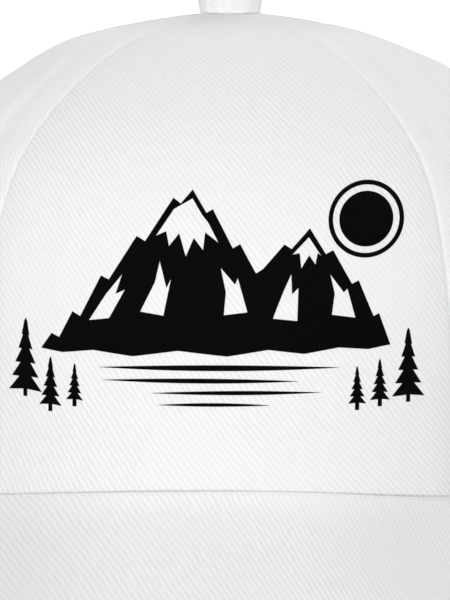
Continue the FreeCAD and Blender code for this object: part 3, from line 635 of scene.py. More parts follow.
def finish_piece(data, kind, replaces=(), sharp=40.0, held=None, hem=0.0):
    """Lay mesh data down with the cap and make it a piece; for one that is held somehow, measure its flat
    cloth.
    """
    data.transform(lay())
    data.set_sharp_from_angle(angle=math.radians(sharp))
    data.materials.append(material_of(kind))
    piece = bpy.data.objects.new(data.name, data)
    bpy.context.scene.collection.objects.link(piece)
    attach(piece, "cap")
    if replaces:
        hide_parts(*replaces)
    if held:
        flat, area = cut_size(data, hem)
    return piece


def sheet(name, columns, rows, place, kind, held, node=None, hem=0.0):
    """Make a sheet of cloth in place of the node that it is named after, or of another."""
    node = node or name.removesuffix("_cloth")
    return finish_piece(shell(name, columns, rows, place), kind, (node,), held=held, hem=hem)


def stitch_row(mesh, line, normals, pitch=3.0 * MM, stitch=2.4 * MM, thread=0.22 * MM, sunk=0.35):
    """Sew a row of separate stitches into a bmesh, along a line with its outward normals."""
    bead = bpy.data.meshes.get("stitch")
    if bead is None:
        shape = bmesh.new()
        bmesh.ops.create_uvsphere(
            shape, u_segments=6, v_segments=6, radius=1.0, matrix=Matrix.Rotation(math.pi / 2, 4, "Y"))
        bead = to_data(shape, "stitch")
    run = run_of(line)
    count = max(1, int(run[-1] / pitch))
    for index in range(count):
        middle = (index + 0.5) * run[-1] / count
        start, end = (Vector(sample(line, middle + step * stitch / 2, run)) for step in (-1, 1))
        along = (end - start).normalized()
        side = Vector(sample(normals, middle, run)).cross(along).normalized()
        out = along.cross(side)
        seat = (start + end) / 2 + out * thread * (1 - 2 * sunk)
        turned = Matrix((along * (end - start).length / 2, side * thread, out * thread)).transposed().to_4x4()
        placed = Matrix.Translation(seat) @ turned
        bead.transform(placed)
        mesh.from_mesh(bead)
        bead.transform(placed.inverted())


# --- materials -----------------------------------------------------------------------------------


class Value:
    """A node's output, which takes part in sums as a number does."""

    def __init__(self, tree, socket):
        self.tree, self.socket = tree, socket

    def math(self, operation, *others):
        """A Math node's result, with this value first."""
        return self.tree.value("Math", {0: self, **dict(enumerate(others, 1))}, operation=operation)

    def __add__(self, other):
        return self.math("ADD", other)

    def __sub__(self, other):
        return self.math("SUBTRACT", other)

    def __mul__(self, other):
        return self.math("MULTIPLY", other)

    def __rsub__(self, other):
        return self * -1.0 + other

    def wave(self):
        """A wave with one half-turn for each unit."""
        return (self * math.pi).math("SINE")

    def ridges(self, power):
        """Rounded ridges one unit apart, with narrow hollows between."""
        return self.wave().math("ABSOLUTE").math("MAXIMUM", 0.0001).math("POWER", power)


class Tree:
    """A node tree, built one node at a time."""

    def __init__(self, owner):
        owner.use_nodes = True
        self.tree = owner.node_tree
        self.tree.nodes.clear()

    def add(self, kind, inputs=None, **settings):
        """Add a node; each input is a plain value or another node's."""
        node = self.tree.nodes.new("ShaderNode" + kind)
        for key, value in settings.items():
            setattr(node, key, value)
        self.put(node, inputs or {})
        return node

    def put(self, node, inputs):
        """Set or link some of a node's inputs."""
        for key, value in inputs.items():
            if isinstance(value, Value):
                self.tree.links.new(value.socket, node.inputs[key])
            else:
                node.inputs[key].default_value = value

    def value(self, kind, inputs=None, output=0, **settings):
        """Add a node and take one of its outputs."""
        return Value(self, self.add(kind, inputs, **settings).outputs[output])

    def split(self, places):
        """The three coordinates of places."""
        node = self.add("SeparateXYZ", {0: places})
        return [Value(self, socket) for socket in node.outputs]

    def noise(self, places, scale, detail=2.0, rough=0.5):
        """A noise value about 0.5."""
        inputs = {"Vector": places, "Scale": scale, "Detail": detail, "Roughness": rough}
        return self.value("TexNoise", inputs)

    def mix(self, amount, first, second, blend="MIX"):
        """A blend of two colours."""
        return self.value("Mix", {0: amount, 6: first, 7: second}, 2, data_type="RGBA", blend_type=blend)

    def seen(self):
        """1 for what the camera sees, straight on, mirrored or through something, and 0 for other light."""
        path = self.add("LightPath")
        camera, glossy, through = (
            Value(self, path.outputs[f"Is {kind} Ray"]) for kind in ("Camera", "Glossy", "Transmission"))
        return camera.math("MAXIMUM", glossy).math("MAXIMUM", through)


class Finish(Tree):
    """A material with one shader."""

    def __init__(self, name):
        self.material = bpy.data.materials.new(name)
        super().__init__(self.material)
        self.shader = self.add("BsdfPrincipled")
        self.add("OutputMaterial", {"Surface": Value(self, self.shader.outputs["BSDF"])})

    def cloth(self):
        """Places on the piece's flat cloth, and how far across and along they are."""
        places = self.value("UVMap", uv_map="cloth")
        return (places, *self.split(places)[:2])

    def wear(self):
        """How much darker the piece is, from wear and, on some pieces, painted shade."""
        return self.value("Attribute", output="Fac", attribute_name="wear")

    def surface(self, shade, rough, shine=0.5, height=None, relief=0.0, strength=1.0, **others):
        """Give the shader its colour, roughness and relief, and return the material."""
        inputs = {"Base Color": shade, "Roughness": rough, "Specular IOR Level": shine}
        if height is not None:
            bump = {"Height": height, "Strength": strength, "Distance": relief}
            inputs["Normal"] = self.value("Bump", bump)
        inputs.update({key.replace("_", " ").title(): value for key, value in others.items()})
        self.put(self.shader, inputs)
        return self.material


def rgba(value, factor=1.0):
    """A colour for a socket."""
    return (*(min(channel * factor, 1.0) for channel in value), 1.0)


def twill(name, tint, pitch, lean, relief, hollow=0.80, sheen=0.08):
    """Woven twill on the piece's flat cloth: diagonal ridges of short floats, uneven and a little fuzzy."""
    finish = Finish(name)
    places, across, along = finish.cloth()
    steep, level = math.sin(lean) / pitch, math.cos(lean) / pitch
    wander = finish.noise(places, 55.0) - 0.5
    quiver = finish.noise(places, 700.0) - 0.5
    wale = across * steep + along * level + wander * 0.9 + quiver * 0.2
    # Single strands, lighter or darker for a few millimetres along a ridge.
    run = (along * steep - across * level) * 0.26
    strands = finish.noise(finish.value("CombineXYZ", {0: wale * 2.1, 1: run}), 1.0, 2.5, 0.6)
    yarn = (across * (4 * steep) + quiver * 0.4).ridges(0.7)
    weft = (along * (4 * level) + quiver * 0.5).ridges(0.6)
    nap = finish.noise(places, 3600.0, 3.0, 0.6)
    height = (yarn * 0.6 + weft * 0.4) * 0.22 + wale.ridges(1.5) * 0.5 + strands * 0.7 + nap * 0.2
    # The ridges are faint in some places and strong in others, about the same middle shade.
    strong = finish.noise(places, 30.0, 1.5) * 2.2 - 0.15
    # Painted shade darkens the weave's hollows, towards the hollow share of the tint.
    shade = finish.mix((0.87 - height) * strong + 0.3, rgba(tint), rgba(tint, hollow))
    shade = finish.mix(nap * 0.2, shade, rgba(tint, 0.9))
    shade = finish.mix(finish.noise(places, 26.0, 3.0, 0.55) * 0.1, shade, rgba(tint, 0.82))
    # Wear, and the painted shade on the crown's top and the brim's sides, darken the cloth.
    shade = finish.mix(finish.wear() * 0.35, shade, (0.87, 0.865, 0.855, 1.0), "MULTIPLY")
    return finish.surface(
        shade, nap * 0.12 + 0.82, 0.25, height, relief, sheen_weight=sheen, sheen_roughness=0.6)


def plain_cloth(name, tint, threads_per_metre, relief, hollow=0.86):
    """Plain-woven cloth or tape: yarns over and under at right angles."""
    finish = Finish(name)
    places, across, along = finish.cloth()
    quiver = (finish.noise(places, 500.0) - 0.5) * 0.35
    warp, weft = across * threads_per_metre + quiver, along * (threads_per_metre * 0.8) + quiver
    cross = warp.wave() * weft.wave() * 0.5 + 0.5
    nap = finish.noise(places, 4200.0, 3.0, 0.6)
    height = cross * 0.4 + warp.ridges(0.5) * weft.ridges(0.5) * 0.5 + nap * 0.2
    # Painted shade darkens the weave's hollows, towards the hollow share of the tint.
    shade = finish.mix(height, rgba(tint, hollow), rgba(tint))
    shade = finish.mix(finish.noise(places, 30.0, 3.0) * 0.12, shade, rgba(tint, 0.8))
    shade = finish.mix(finish.wear() * 0.45, shade, (0.72, 0.69, 0.62, 1.0))
    return finish.surface(shade, 0.88, 0.2, height, relief)


def net_cloth(name, tint):
    """Stiffened net: an open grid of glazed yarns, with its small meshes painted dark as shade."""
    finish = Finish(name)
    places, across, along = finish.cloth()
    quiver = (finish.noise(places, 260.0) - 0.5) * 0.5
    gaps = (across * 780.0 + quiver).ridges(0.9) * (along * 780.0 + quiver).ridges(0.9)
    hole = (gaps * 1.25).math("SMOOTH_MIN", 1.0, 0.2)
    glaze = finish.noise(places, 90.0, 3.0)
    # The meshes are painted shade, dark where the net is open.
    shade = finish.mix(hole * 0.62, rgba(tint), rgba(tint, 0.42))
    shade = finish.mix(glaze * 0.3, shade, rgba(tint, 0.8))
    return finish.surface(shade, glaze * -0.3 + 0.75, 0.5, 1.0 - hole, 0.22 * MM)


def thread_finish(name, tint):
    """Twisted sewing thread with a low shine."""
    finish = Finish(name)
    twist = finish.noise(finish.value("TexCoord", output="Object"), 5200.0)
    shade = finish.mix(twist, rgba(tint, 0.86), rgba(tint))
    return finish.surface(shade, twist * 0.2 + 0.5, 0.35, twist, 0.06 * MM)


def ink_finish(name, tint, pitch, lean):
    """A thin film of textile print that still shows the twill beneath it."""
    finish = Finish(name)
    places, across, along = finish.cloth()
    wale = across * (math.sin(lean) / pitch) + along * (math.cos(lean) / pitch)
    grain = finish.noise(places, 2400.0, 3.0, 0.6)
    shade = finish.mix(grain, rgba(tint), rgba(tint, 1.8))
    return finish.surface(shade, grain * 0.15 + 0.72, 0.02, grain * 0.4 + wale.ridges(0.9), 0.02 * MM)


def metal_finish(name, tint, brushed, tarnish, tarnish_tint):
    """Worked metal: fine brushing, duller and darker where it has tarnished."""
    finish = Finish(name)
    places = finish.value("TexCoord", output="Object")
    strokes = finish.noise(
        finish.value("Mapping", {"Vector": places, "Scale": (1.0, 18.0, 18.0)}), brushed, 4.0, 0.6)
    patches = finish.noise(places, 260.0, 5.0, 0.65)
    edge = finish.value("MapRange", {"Value": patches, "From Min": 0.48, "From Max": 0.66})
    shade = finish.mix(edge * tarnish, rgba(tint), rgba(tarnish_tint))
    shade = finish.mix(strokes * 0.3, shade, rgba(tint, 0.7))
    height = finish.noise(places, 2600.0, 3.0, 0.6) * 0.5 + strokes
    rough = edge * 0.25 + strokes * 0.18 + 0.2
    return finish.surface(shade, rough, 0.5, height, 0.03 * MM, 0.6, metallic=1.0)


MADE = {}


def material_of(kind):
    """One of the cap's finishes, made the first time it is asked for."""
    cloth = bpy.context.scene.cap_cloth
    weave = cloth.pitch, cloth.lean
    kinds = {
        "crown": (twill, "crown twill", cloth.white, *weave, cloth.relief),
        "strap": (twill, "strap twill", cloth.white, *weave, cloth.relief),
        "side": (twill, "side twill", cloth.white, *weave, cloth.relief * 0.7, 0.86),
        "brim": (
            twill, "brim twill", cloth.bright, cloth.brim_pitch, cloth.brim_lean, cloth.relief, 0.79, 0.2),
        "button": (twill, "button twill", cloth.button, *weave, cloth.relief * 0.6, 0.9, 0.2),
        "net": (net_cloth, "buckram", cloth.net),
        "tape": (plain_cloth, "seam tape", cloth.tape, 2200.0, 0.06 * MM),
        "band": (plain_cloth, "sweatband cloth", cloth.band, 1700.0, 0.07 * MM),
        "thread": (thread_finish, "sewing thread", cloth.thread),
        "ink": (ink_finish, "print ink", cloth.ink, *weave),
        "brass": (metal_finish, "aged brass", cloth.brass, 90.0, 0.75, (0.09, 0.055, 0.028)),
        "steel": (metal_finish, "button steel", cloth.steel, 120.0, 0.3, (0.2, 0.19, 0.18)),
    }
    if kind not in MADE:
        make, *details = kinds[kind]
        MADE[kind] = make(*details)
    return MADE[kind]


# --- operators -----------------------------------------------------------------------------------


class Maker:
    """What the cap's operators share."""

    def begin(self, scene):
        """Take up the scene's sizes, each group under its own name, and the crown's form."""
        for name in GROUPS:
            setattr(self, name.removeprefix("cap_"), getattr(scene, name))
        self.form = CrownForm(scene)


class CAP_OT_crown(Maker, bpy.types.Operator):
    """Sew up the crown: one wide front panel, two side panels and two back panels"""
    bl_idname = "cap.make_crown"
    bl_label = "Make crown"

    def execute(self, context):
        self.begin(context.scene)
        front, rear = self.crown.front_seam, self.crown.rear_seam
        eyelets = self.form.eyelet_seats(self.button.eyelet_drop)
        # Each panel's last values: the swell's seed and softness, and how far the seams' hollows reach.
        for name, rows, place in (
            ("front_panel", 110, self.sheet_between(-front, front, FRONT_SEED, FRONT_SOFT, 4 * MM)),
            ("side_panel_right", 110, self.sheet_between(front, rear, 5, 1.0, 5 * MM)),
            ("side_panel_left", 110, self.sheet_between(-front, -rear, 8, 1.0, 5 * MM)),
            ("back_panel_right", 100, self.sheet_round_opening(1, 11, 0.9, 6 * MM)),
            ("back_panel_left", 100, self.sheet_round_opening(-1, 14, 0.9, 6 * MM)),
        ):
            data = shell(name + "_cloth", 130, rows, place)
            eyelet = eyelets.get(name.replace("panel_", ""))
            if eyelet:
                pierce(data, *eyelet, self.button.eyelet_bore + self.button.eyelet_neck)
            finish_piece(data, "side" if eyelet else "crown", (name,), held="stretched")
        return {"FINISHED"}

    def sheet_between(self, start, end, seed, soft, hollow):
        """A panel between two seams, from its lower edge to the button."""
        form, seams, front = self.form, (start, end), seed == FRONT_SEED

        def place(across, up, depth):
            share = crowd(across, 0.86)

            def azimuth_at(level):
                return form.seam(start, level) * (1 - share) + form.seam(end, level) * share

            low = form.up_at_height(form.lower_edge(azimuth_at(0)))
            level = low + (form.up_at_hub(azimuth_at(0), PANEL_HUB) - low) * up ** 1.25
            azimuth = azimuth_at(level)
            cloth = form.cloth(level, azimuth, (start + end) / 2)
            gap = form.gap(level, azimuth, (start,))
            if front:
                cloth = self.drawn(cloth, gap)
            edge = form.run(level, azimuth) - form.run(low, azimuth)
            sewn = form.sewn(cloth, seed, level, azimuth, seams, edge, hollow)
            swell = form.swell(cloth, seed, soft, level, azimuth, seams)
            if not front:
                swell = swell - self.folds(gap, level, cloth, seed)
            return self.panel(level, azimuth, depth, cloth, sewn, swell, edge, 0.5)

        return place

    def drawn(self, cloth, gap):
        """The front panel's cloth as it is sewn: drawn up a little into the left seam, pulled longer over the
        top of the form, and turned a little where it is sewn to the brim."""
        across, run = cloth.T
        longer = 0.15 * 7 * MM * np.log1p(np.exp((run - 77 * MM) / (7 * MM)))
        turned = 6 * MM * across / (36 * MM) * fade(run, 20 * MM)
        return stack(across, run + 2.6 * MM * fade(gap, 4 * MM) - longer - turned)

    def folds(self, gap, level, cloth, seed):
        """How deep two soft folds lie beside a front seam, high on a side panel."""
        wander = 2.5 * MM * waves(cloth, seed + 70, 0.07)
        folds = bell(gap + wander - 11 * MM, 3.6 * MM) + 0.8 * bell(gap + wander * 1.4 - 23 * MM, 4.5 * MM)
        return self.crown.fold * folds * smooth(level, 0.3, 0.5) * (1 - smooth(level, 0.8, 0.93))

    def sheet_round_opening(self, side, seed, soft, hollow):
        """A back panel, cut out round the arched opening."""
        form, opening, rear, back = self.form, self.opening, self.crown.rear_seam, math.pi
        half, spring = opening.half_width, opening.height - opening.half_width
        foot = np.linspace(rear, form.place_at(half, 0.0)[1], 40)
        sweep = np.linspace(0, math.pi / 2, 60)
        outline = resample(np.concatenate([
            stack(polar(form.radius(foot), foot)[0], 0),
            stack(half, spring * np.linspace(0, 1, 8)[1:]),
            stack(half * np.cos(sweep), spring + half * np.sin(sweep))[1:],
        ]), 400)

        def place(across, up, depth):
            at, rise = crowd(across), up ** 1.2
            low, low_azimuth = form.place_at(*along_line(outline, at).T)
            low_azimuth = np.where(at <= 1e-9, rear, low_azimuth)
            high_azimuth = rear + (back - rear) * at
            azimuth = low_azimuth + (high_azimuth - low_azimuth) * rise
            level = low + (form.up_at_hub(high_azimuth, PANEL_HUB) - low) * rise
            x, y, z = form.bare(level, azimuth).T
            arch = np.where(y > 0, np.where(z > spring, np.hypot(x, z - spring), x) - half, 1.0)
            edge = np.clip(np.minimum(arch, z), 0, 1)
            cloth = form.cloth(level, azimuth, (rear + back) / 2)
            sewn = form.sewn(cloth, seed, level, azimuth, (rear, back), edge, hollow)
            sewn = sewn - 0.12 * MM * bell(arch - ARCH_ROW, 0.5 * MM)
            swell = form.swell(cloth, seed, soft, level, azimuth, (rear, back), edge)
            return self.panel(level, azimuth, depth, cloth, sewn, swell, edge, 0.6, side)

        return place

    def panel(self, level, azimuth, depth, cloth, sewn, swell, edge, frayed, side=1):
        """A panel's points, cloth and darkening: frayed edges, and painted shade over the crown's top, with
        faint grey smudges.
        """
        points = self.form.at(level, azimuth, swell + np.where(depth > 0.5, -self.crown.cloth, sewn))
        cloth = cloth * (side, 1)
        # Painted shade darkens the crown's top, unevenly, with faint grey smudges.
        top_shade_and_smudges = smooth(level, 0.78, 0.93) * (2.2 + 0.5 * waves(cloth, 91, 0.03))
        return points * (side, 1, 1), cloth, frayed * fade(edge, 1.5 * MM) + 0.25 * depth + top_shade_and_smudges


class CAP_OT_inside(Maker, bpy.types.Operator):
    """Line the crown: stiff net behind the front panel, tapes over the seams, binding and sweatband"""
    bl_idname = "cap.make_inside"
    bl_label = "Make inside"

    def execute(self, context):
        self.begin(context.scene)
        front, rear = self.crown.front_seam, self.crown.rear_seam
        self.sewing = bmesh.new()
        self.rows = 2.6 * MM, self.inside.band_height - 3.2 * MM
        sheet("front_net", 70, 70, self.lining, "net", "stretched", node="front_lining")
        for name, seam in (
            ("front_right", front), ("front_left", -front), ("side_right", rear), ("side_left", -rear),
            ("back", math.pi),
        ):
            sheet(f"seam_tape_{name}_cloth", 16, 120, self.tape(seam), "tape", "laid")
        sheet("opening_binding_cloth", 220, 12, self.binding, "tape", "folded", hem=HEM)
        sheet("sweatband_cloth", 320, 44, self.band, "band", "folded")
        self.sew_band()
        finish_piece(to_data(self.sewing, "inside_stitching"), "thread")
        return {"FINISHED"}

    def lining(self, across, up, depth):
        """The stiff net behind the front panel."""
        form, inside, seam = self.form, self.inside, self.crown.front_seam
        way = 2 * crowd(across, 0.5) - 1
        azimuth = way * seam
        for _ in range(3):
            low = form.up_at_height(form.lower_edge(azimuth))
            level = low + (form.up_at_hub(azimuth, inside.lining_hub) - low) * up
            azimuth = way * (form.seam(seam, level) - inside.lining_margin / form.radius(azimuth, level))
        cloth = form.cloth(level, azimuth, 0)
        sunk = inside.lining_depth + inside.lining * depth + 0.05 * MM * waves(cloth, 31, 0.02)
        return form.at(level, azimuth, -sunk), cloth, 0.15 * depth

    def layer(self, depth, edge, swell):
        """How deep a place of a tape lies: it is thin at its edges, and swells inwards."""
        thin = rounding(edge, 0.28 * MM)
        return self.inside.lining_depth + thin * (1 - depth) + (self.inside.lining + swell - thin) * depth

    def tape(self, seam):
        """A tape over one seam, with its two rows of stitches."""
        form, inside, back = self.form, self.inside, seam == math.pi
        side = inside.tape_width / 2
        low = self.opening.height + inside.binding + self.brim.gap if back else form.lower_edge(seam)
        low, top = float(form.up_at_height(low)), float(form.up_at_hub(seam, inside.tape_hub))

        def beside(level, off):
            return form.seam(seam, level) + off / form.radius(seam, level)

        def place(across, up, depth):
            off = (2 * crowd(across, 0.5) - 1) * side
            level = low + (top - low) * up
            azimuth = beside(level, off)
            if not back:
                level = np.maximum(level, form.up_at_height(form.lower_edge(azimuth)))
            run, edge = form.run(level, azimuth), side - np.abs(off)
            swell = 0.25 * MM * bell(off, 1.6 * MM) - 0.14 * MM * bell(edge - TAPE_ROW, 0.4 * MM)
            swell = swell + 0.05 * MM * np.sin(2 * math.pi * run / (6 * MM) + seam)
            points = form.at(level, azimuth, -self.layer(depth, edge, swell))
            return points, stack(off, run), 0.2 * fade(edge, 0.8 * MM)

        level = np.linspace(low, top, 300)[4:-4]
        for off in (TAPE_ROW - side, side - TAPE_ROW):
            azimuth = beside(level, off)
            line = form.at(level, azimuth, 0.1 * MM - inside.lining_depth - inside.lining)
            stitch_row(self.sewing, line, -form.normal(level, azimuth))
        return place

    def binding(self, across, up, depth):
        """The tape that binds the opening's edge."""
        wide = self.inside.binding
        near, far = (along_line(arch_line(self.opening, margin), across) for margin in (0.2 * MM, wide))
        run, off = across * self.inside.binding_run, up * wide
        swell = 0.05 * MM * np.sin(2 * math.pi * run / (5 * MM)) - 0.14 * MM * bell(off - ARCH_ROW, 0.4 * MM)
        sunk = self.layer(depth, np.minimum(off, wide - off), swell)
        where = self.form.place_at(*(near + (far - near) * up[:, None]).T)
        return self.form.at(*where, -sunk), stack(run, off), 0.35 * fade(off, 1.5 * MM)

    def band(self, across, up, depth):
        """The folded sweatband, thinner where the strap's ends are sewn in behind it."""
        form, inside, opening = self.form, self.inside, self.opening
        spring, wide = opening.height - opening.half_width, opening.half_width + inside.band_setback
        azimuth = (2 * across - 1) * (math.pi - 0.45)
        for _ in range(3):
            low = form.lower_edge(azimuth, -form.brim.thick - 0.35 * MM)
            height = low + (inside.band_height - low) * crowd(up, 0.6)
            end = np.sqrt(wide ** 2 - np.clip(height - spring, 0, wide) ** 2)
            azimuth = (2 * across - 1) * form.place_at(end, height)[1]
        x, y = polar(form.radius(azimuth), azimuth)
        edge = np.minimum(inside.band_height - height, height - low)
        strap_top = opening.strap_rise + opening.strap_width
        pocket = smooth(opening.sewn_reach + POCKET_ROOM - np.abs(x), 0, 0.8 * MM) * (y > 0)
        pocket = pocket * smooth(strap_top + POCKET_ROOM - height, 0, 0.8 * MM)
        outer = inside.band_depth + POCKET_DEPTH * pocket + rounding(edge, 0.7 * MM)
        run = azimuth * (self.crown.half_length + self.crown.half_width) / 2
        cloth = stack(run, height)
        soft = 0.35 * MM * waves(cloth, 51, 0.03, 9) * smooth(edge, 0, 6 * MM)
        full = 0.45 * MM * smooth(edge, 0, 9 * MM) + soft
        inner = inside.band_depth + inside.band + full - rounding(edge, 1.1 * MM)
        for row in self.rows:
            inner = inner - 0.35 * MM * bell(height - low - row, 0.6 * MM)
        pucker = 0.12 * MM * np.sin(2 * math.pi * run / (6.5 * MM) + 2 * np.sin(run / (30 * MM)))
        inner = inner + pucker * fade(height - low, 5 * MM)
        out = form.radius(azimuth) - (outer + (inner - outer) * depth)
        darkening = 0.5 * depth * bell(height - 18 * MM, 12 * MM) + 0.4 * fade(edge, 1.2 * MM)
        return stack(*polar(out, azimuth), height), cloth, darkening

    def sew_band(self):
        """Two rows of stitches along the sweatband's inner face."""
        across, shares = np.linspace(0.004, 0.996, 1400), np.linspace(0, 1, 500)
        low = self.band(across, 0 * across, 1 + 0 * across)[0][:, 2]
        for row in self.rows:
            up = np.interp(row / (self.inside.band_height - low), crowd(shares, 0.6), shares)
            line = self.band(across, up, 1 + 0 * across)[0]
            stitch_row(self.sewing, line, unit(line * (-1, -1, 0)), pitch=3.4 * MM, stitch=2.7 * MM)


class CAP_OT_brim(Maker, bpy.types.Operator):
    """Make the brim's upper and lower covers, sewn together round a rounded edge"""
    bl_idname = "cap.make_brim"
    bl_label = "Make brim"

    def execute(self, context):
        self.begin(context.scene)
        form, sewing = self.form.brim, bmesh.new()
        for name, upper in (("brim_top_cover_cloth", True), ("brim_under_cover_cloth", False)):
            sheet(name, 220, 84, self.cover(upper), "brim", "stretched")
        for depth, face in ((0.0, 1), (form.thick, -1)):
            for row in BRIM_ROWS:
                plan = form.outline(row)[4:-4]
                line = form.at(plan, depth + face * 0.12 * MM)
                stitch_row(sewing, line, (form.at(plan, 0) - form.at(plan, MM)) * face)
        finish_piece(to_data(sewing, "brim_stitching"), "thread")
        return {"FINISHED"}

    def cover(self, upper):
        """One of the brim's covers; the upper one puffs up where it comes out from under the crown."""
        brim, form, crown = self.brim, self.form.brim, self.form
        outline, root = form.outline(0), form.root_line(brim.root_depth)

        def place(across, up, depth):
            start, end = along_line(root, across), along_line(outline, across)
            plan = start + (end - start) * (1 - (1 - up) ** 1.7)[:, None]
            edge = apart(plan, outline)
            fall = rounding(edge, form.thick / 2 - 0.02 * MM)
            for row in BRIM_ROWS:
                fall = fall + 0.14 * MM * bell(edge - row, 0.45 * MM)
            outer = fall - 0.1 * MM * waves(plan, 21, 0.05) * smooth(edge, 0, 12 * MM)
            if upper:
                azimuth = np.arctan2(plan[:, 0], -plan[:, 1])
                out = np.maximum(np.hypot(*plan.T) - crown.radius(azimuth), 0) / (1.4 * MM)
                outer = outer - brim.puff * out * np.exp(1 - out) * smooth(edge, 0, 8 * MM)
            inner = np.maximum(brim.cover, fall + 0.01 * MM)
            sunk = outer + (inner - outer) * depth
            # Painted shade greys the brim's sides, which curve away from the light.
            painted_side_shade = smooth(np.abs(plan[:, 0]), 12 * MM, 50 * MM)
            darkening = 0.55 * fade(edge, 1.6 * MM) + 0.2 * depth + 2.2 * painted_side_shade
            return form.at(plan, sunk if upper else form.thick - sunk), form.cloth(plan), darkening

        return place


class CAP_OT_button(Maker, bpy.types.Operator):
    """Cover the button in gathered cloth"""
    bl_idname = "cap.make_button"
    bl_label = "Make button"

    def execute(self, context):
        self.begin(context.scene)
        button, form = self.button, self.form
        mesh = bmesh.new()
        bmesh.ops.create_uvsphere(mesh, u_segments=120, v_segments=56, radius=1.0)
        data = to_data(mesh, "button_cloth")
        x, y, z = read(data.vertices, "co", 3).T
        around = np.arctan2(x, -y)
        up, ring = np.clip((z + 1) / 2, 0, 1), np.sqrt(np.clip(1 - z ** 2, 0, 1))
        # A low dome over sides that draw in to the foot, which rests on the crown all round.
        side = Spline(
            (0.05, 0.2, 0.35, 0.5, 0.62, 0.76, 0.88, 0.96, 1),
            (0.93, 0.95, 0.98, 1, 0.99, 0.91, 0.73, 0.46, 0))
        out = np.where(up < 0.05, 0.93 * np.minimum(ring / 0.436, 1), side(up))
        out = 1.04 * button.radius * np.where(up > 0.96, ring * 1.17, out)
        gathers = np.sin(around * 11 + 1.7 * np.sin(around * 2 + 0.6)) * 0.6 + np.sin(around * 17 + 2.2) * 0.4
        out = out + button.pleat * gathers * smooth(0.55 - up, 0, 0.5) * smooth(ring, 0.3, 0.8)
        foot = form.rise(form.up_at_hub(around, np.maximum(out, 1.5 * MM))) * form.height - 0.35 * MM
        top = form.height + self.brim.gap + button.height
        rise = foot + (top - foot) * smooth(up, 0, 0.06) * up
        cloth = stack(*polar(button.radius * np.arccos(np.clip(z, -1, 1)) * 0.95, around))
        # Greyed a little over the top; painted shade darkens the foot, where the button meets the crown.
        darkening = 0.2 * smooth(up, 0.7, 1) + 0.4 * smooth(0.2 - up, 0, 0.2)
        lay_out(data, stack(*polar(out, around), rise), cloth, darkening)
        finish_piece(data, "button", ("crown_button",), sharp=70.0)
        return {"FINISHED"}


class CAP_OT_eyelets(Maker, bpy.types.Operator):
    """Sew the four eyelets: rings of close satin stitches through the cloth"""
    bl_idname = "cap.make_eyelets"
    bl_label = "Make eyelets"

    STITCHES = 58

    def execute(self, context):
        self.begin(context.scene)
        for name, (seat, out) in self.form.eyelet_seats(self.button.eyelet_drop).items():
            data = self.ring(f"eyelet_{name}_thread")
            data.transform(Matrix.Translation(seat) @ out.to_track_quat("Z", "Y").to_matrix().to_4x4())
            finish_piece(data, "thread", ("eyelet_" + name,), sharp=80.0)
        return {"FINISHED"}

    def ring(self, name):
        """A ring of stitches, ridged all round, outside and inside the cloth."""
        bore, wide = self.button.eyelet_bore, self.button.eyelet
        neck, low = bore + self.button.eyelet_neck, -self.crown.cloth - 0.7 * MM
        # The section, round from the hole's inner end: places in millimetres from an edge and from a face.
        profile = [(edge + out * MM, face + rise * MM) for edge, out, face, rise in (
            (bore, 0, low, 0.1), (bore, 0.25, low, -0.45), (bore, 1, low, -0.6), (wide, -1, low, -0.55),
            (wide, -0.15, low, -0.3), (wide, 0, low, -0.08), (wide, -0.3, low, 0), (neck, 0, low, 0),
            (neck, 0, 0, 0.12), (wide, -0.3, 0, 0.1), (wide, 0, 0, 0.2), (wide, -0.15, 0, 0.42),
            (wide, -1, 0, 0.72), (bore, 1, 0, 0.78), (bore, 0.3, 0, 0.55), (bore, 0, 0, 0.1),
        )]
        mesh = bmesh.new()
        corners = [mesh.verts.new((radius, 0, height)) for radius, height in profile]
        edges = [mesh.edges.new(pair) for pair in zip(corners, corners[1:] + corners[:1])]
        bmesh.ops.spin(
            mesh, geom=corners + edges, cent=(0, 0, 0), axis=(0, 0, 1), angle=2 * math.pi,
            steps=4 * self.STITCHES, use_merge=True)
        bmesh.ops.recalc_face_normals(mesh, faces=mesh.faces[:])
        data = to_data(mesh, name)
        x, y, z = read(data.vertices, "co", 3).T
        around, out = np.arctan2(y, x), np.hypot(x, y)
        uneven = 0.7 + 0.3 * np.sin(around * 7 + 1.0) * np.sin(around * 13)
        ridge = 0.11 * MM * (np.abs(np.sin(around * self.STITCHES / 2)) ** 0.6 - 0.6) * uneven
        ridge = np.where(z > -0.5 * MM, ridge, -ridge) * (np.abs(out - neck) > 0.05 * MM)
        fringe = 0.13 * MM * np.sin(around * 5 + 0.7) * np.sin(around * 11 + 2.0)
        grow = 1 + fringe / out * smooth(out, (bore + wide) / 2, wide)
        lay_out(data, stack(x * grow, y * grow, z + ridge))
        return data


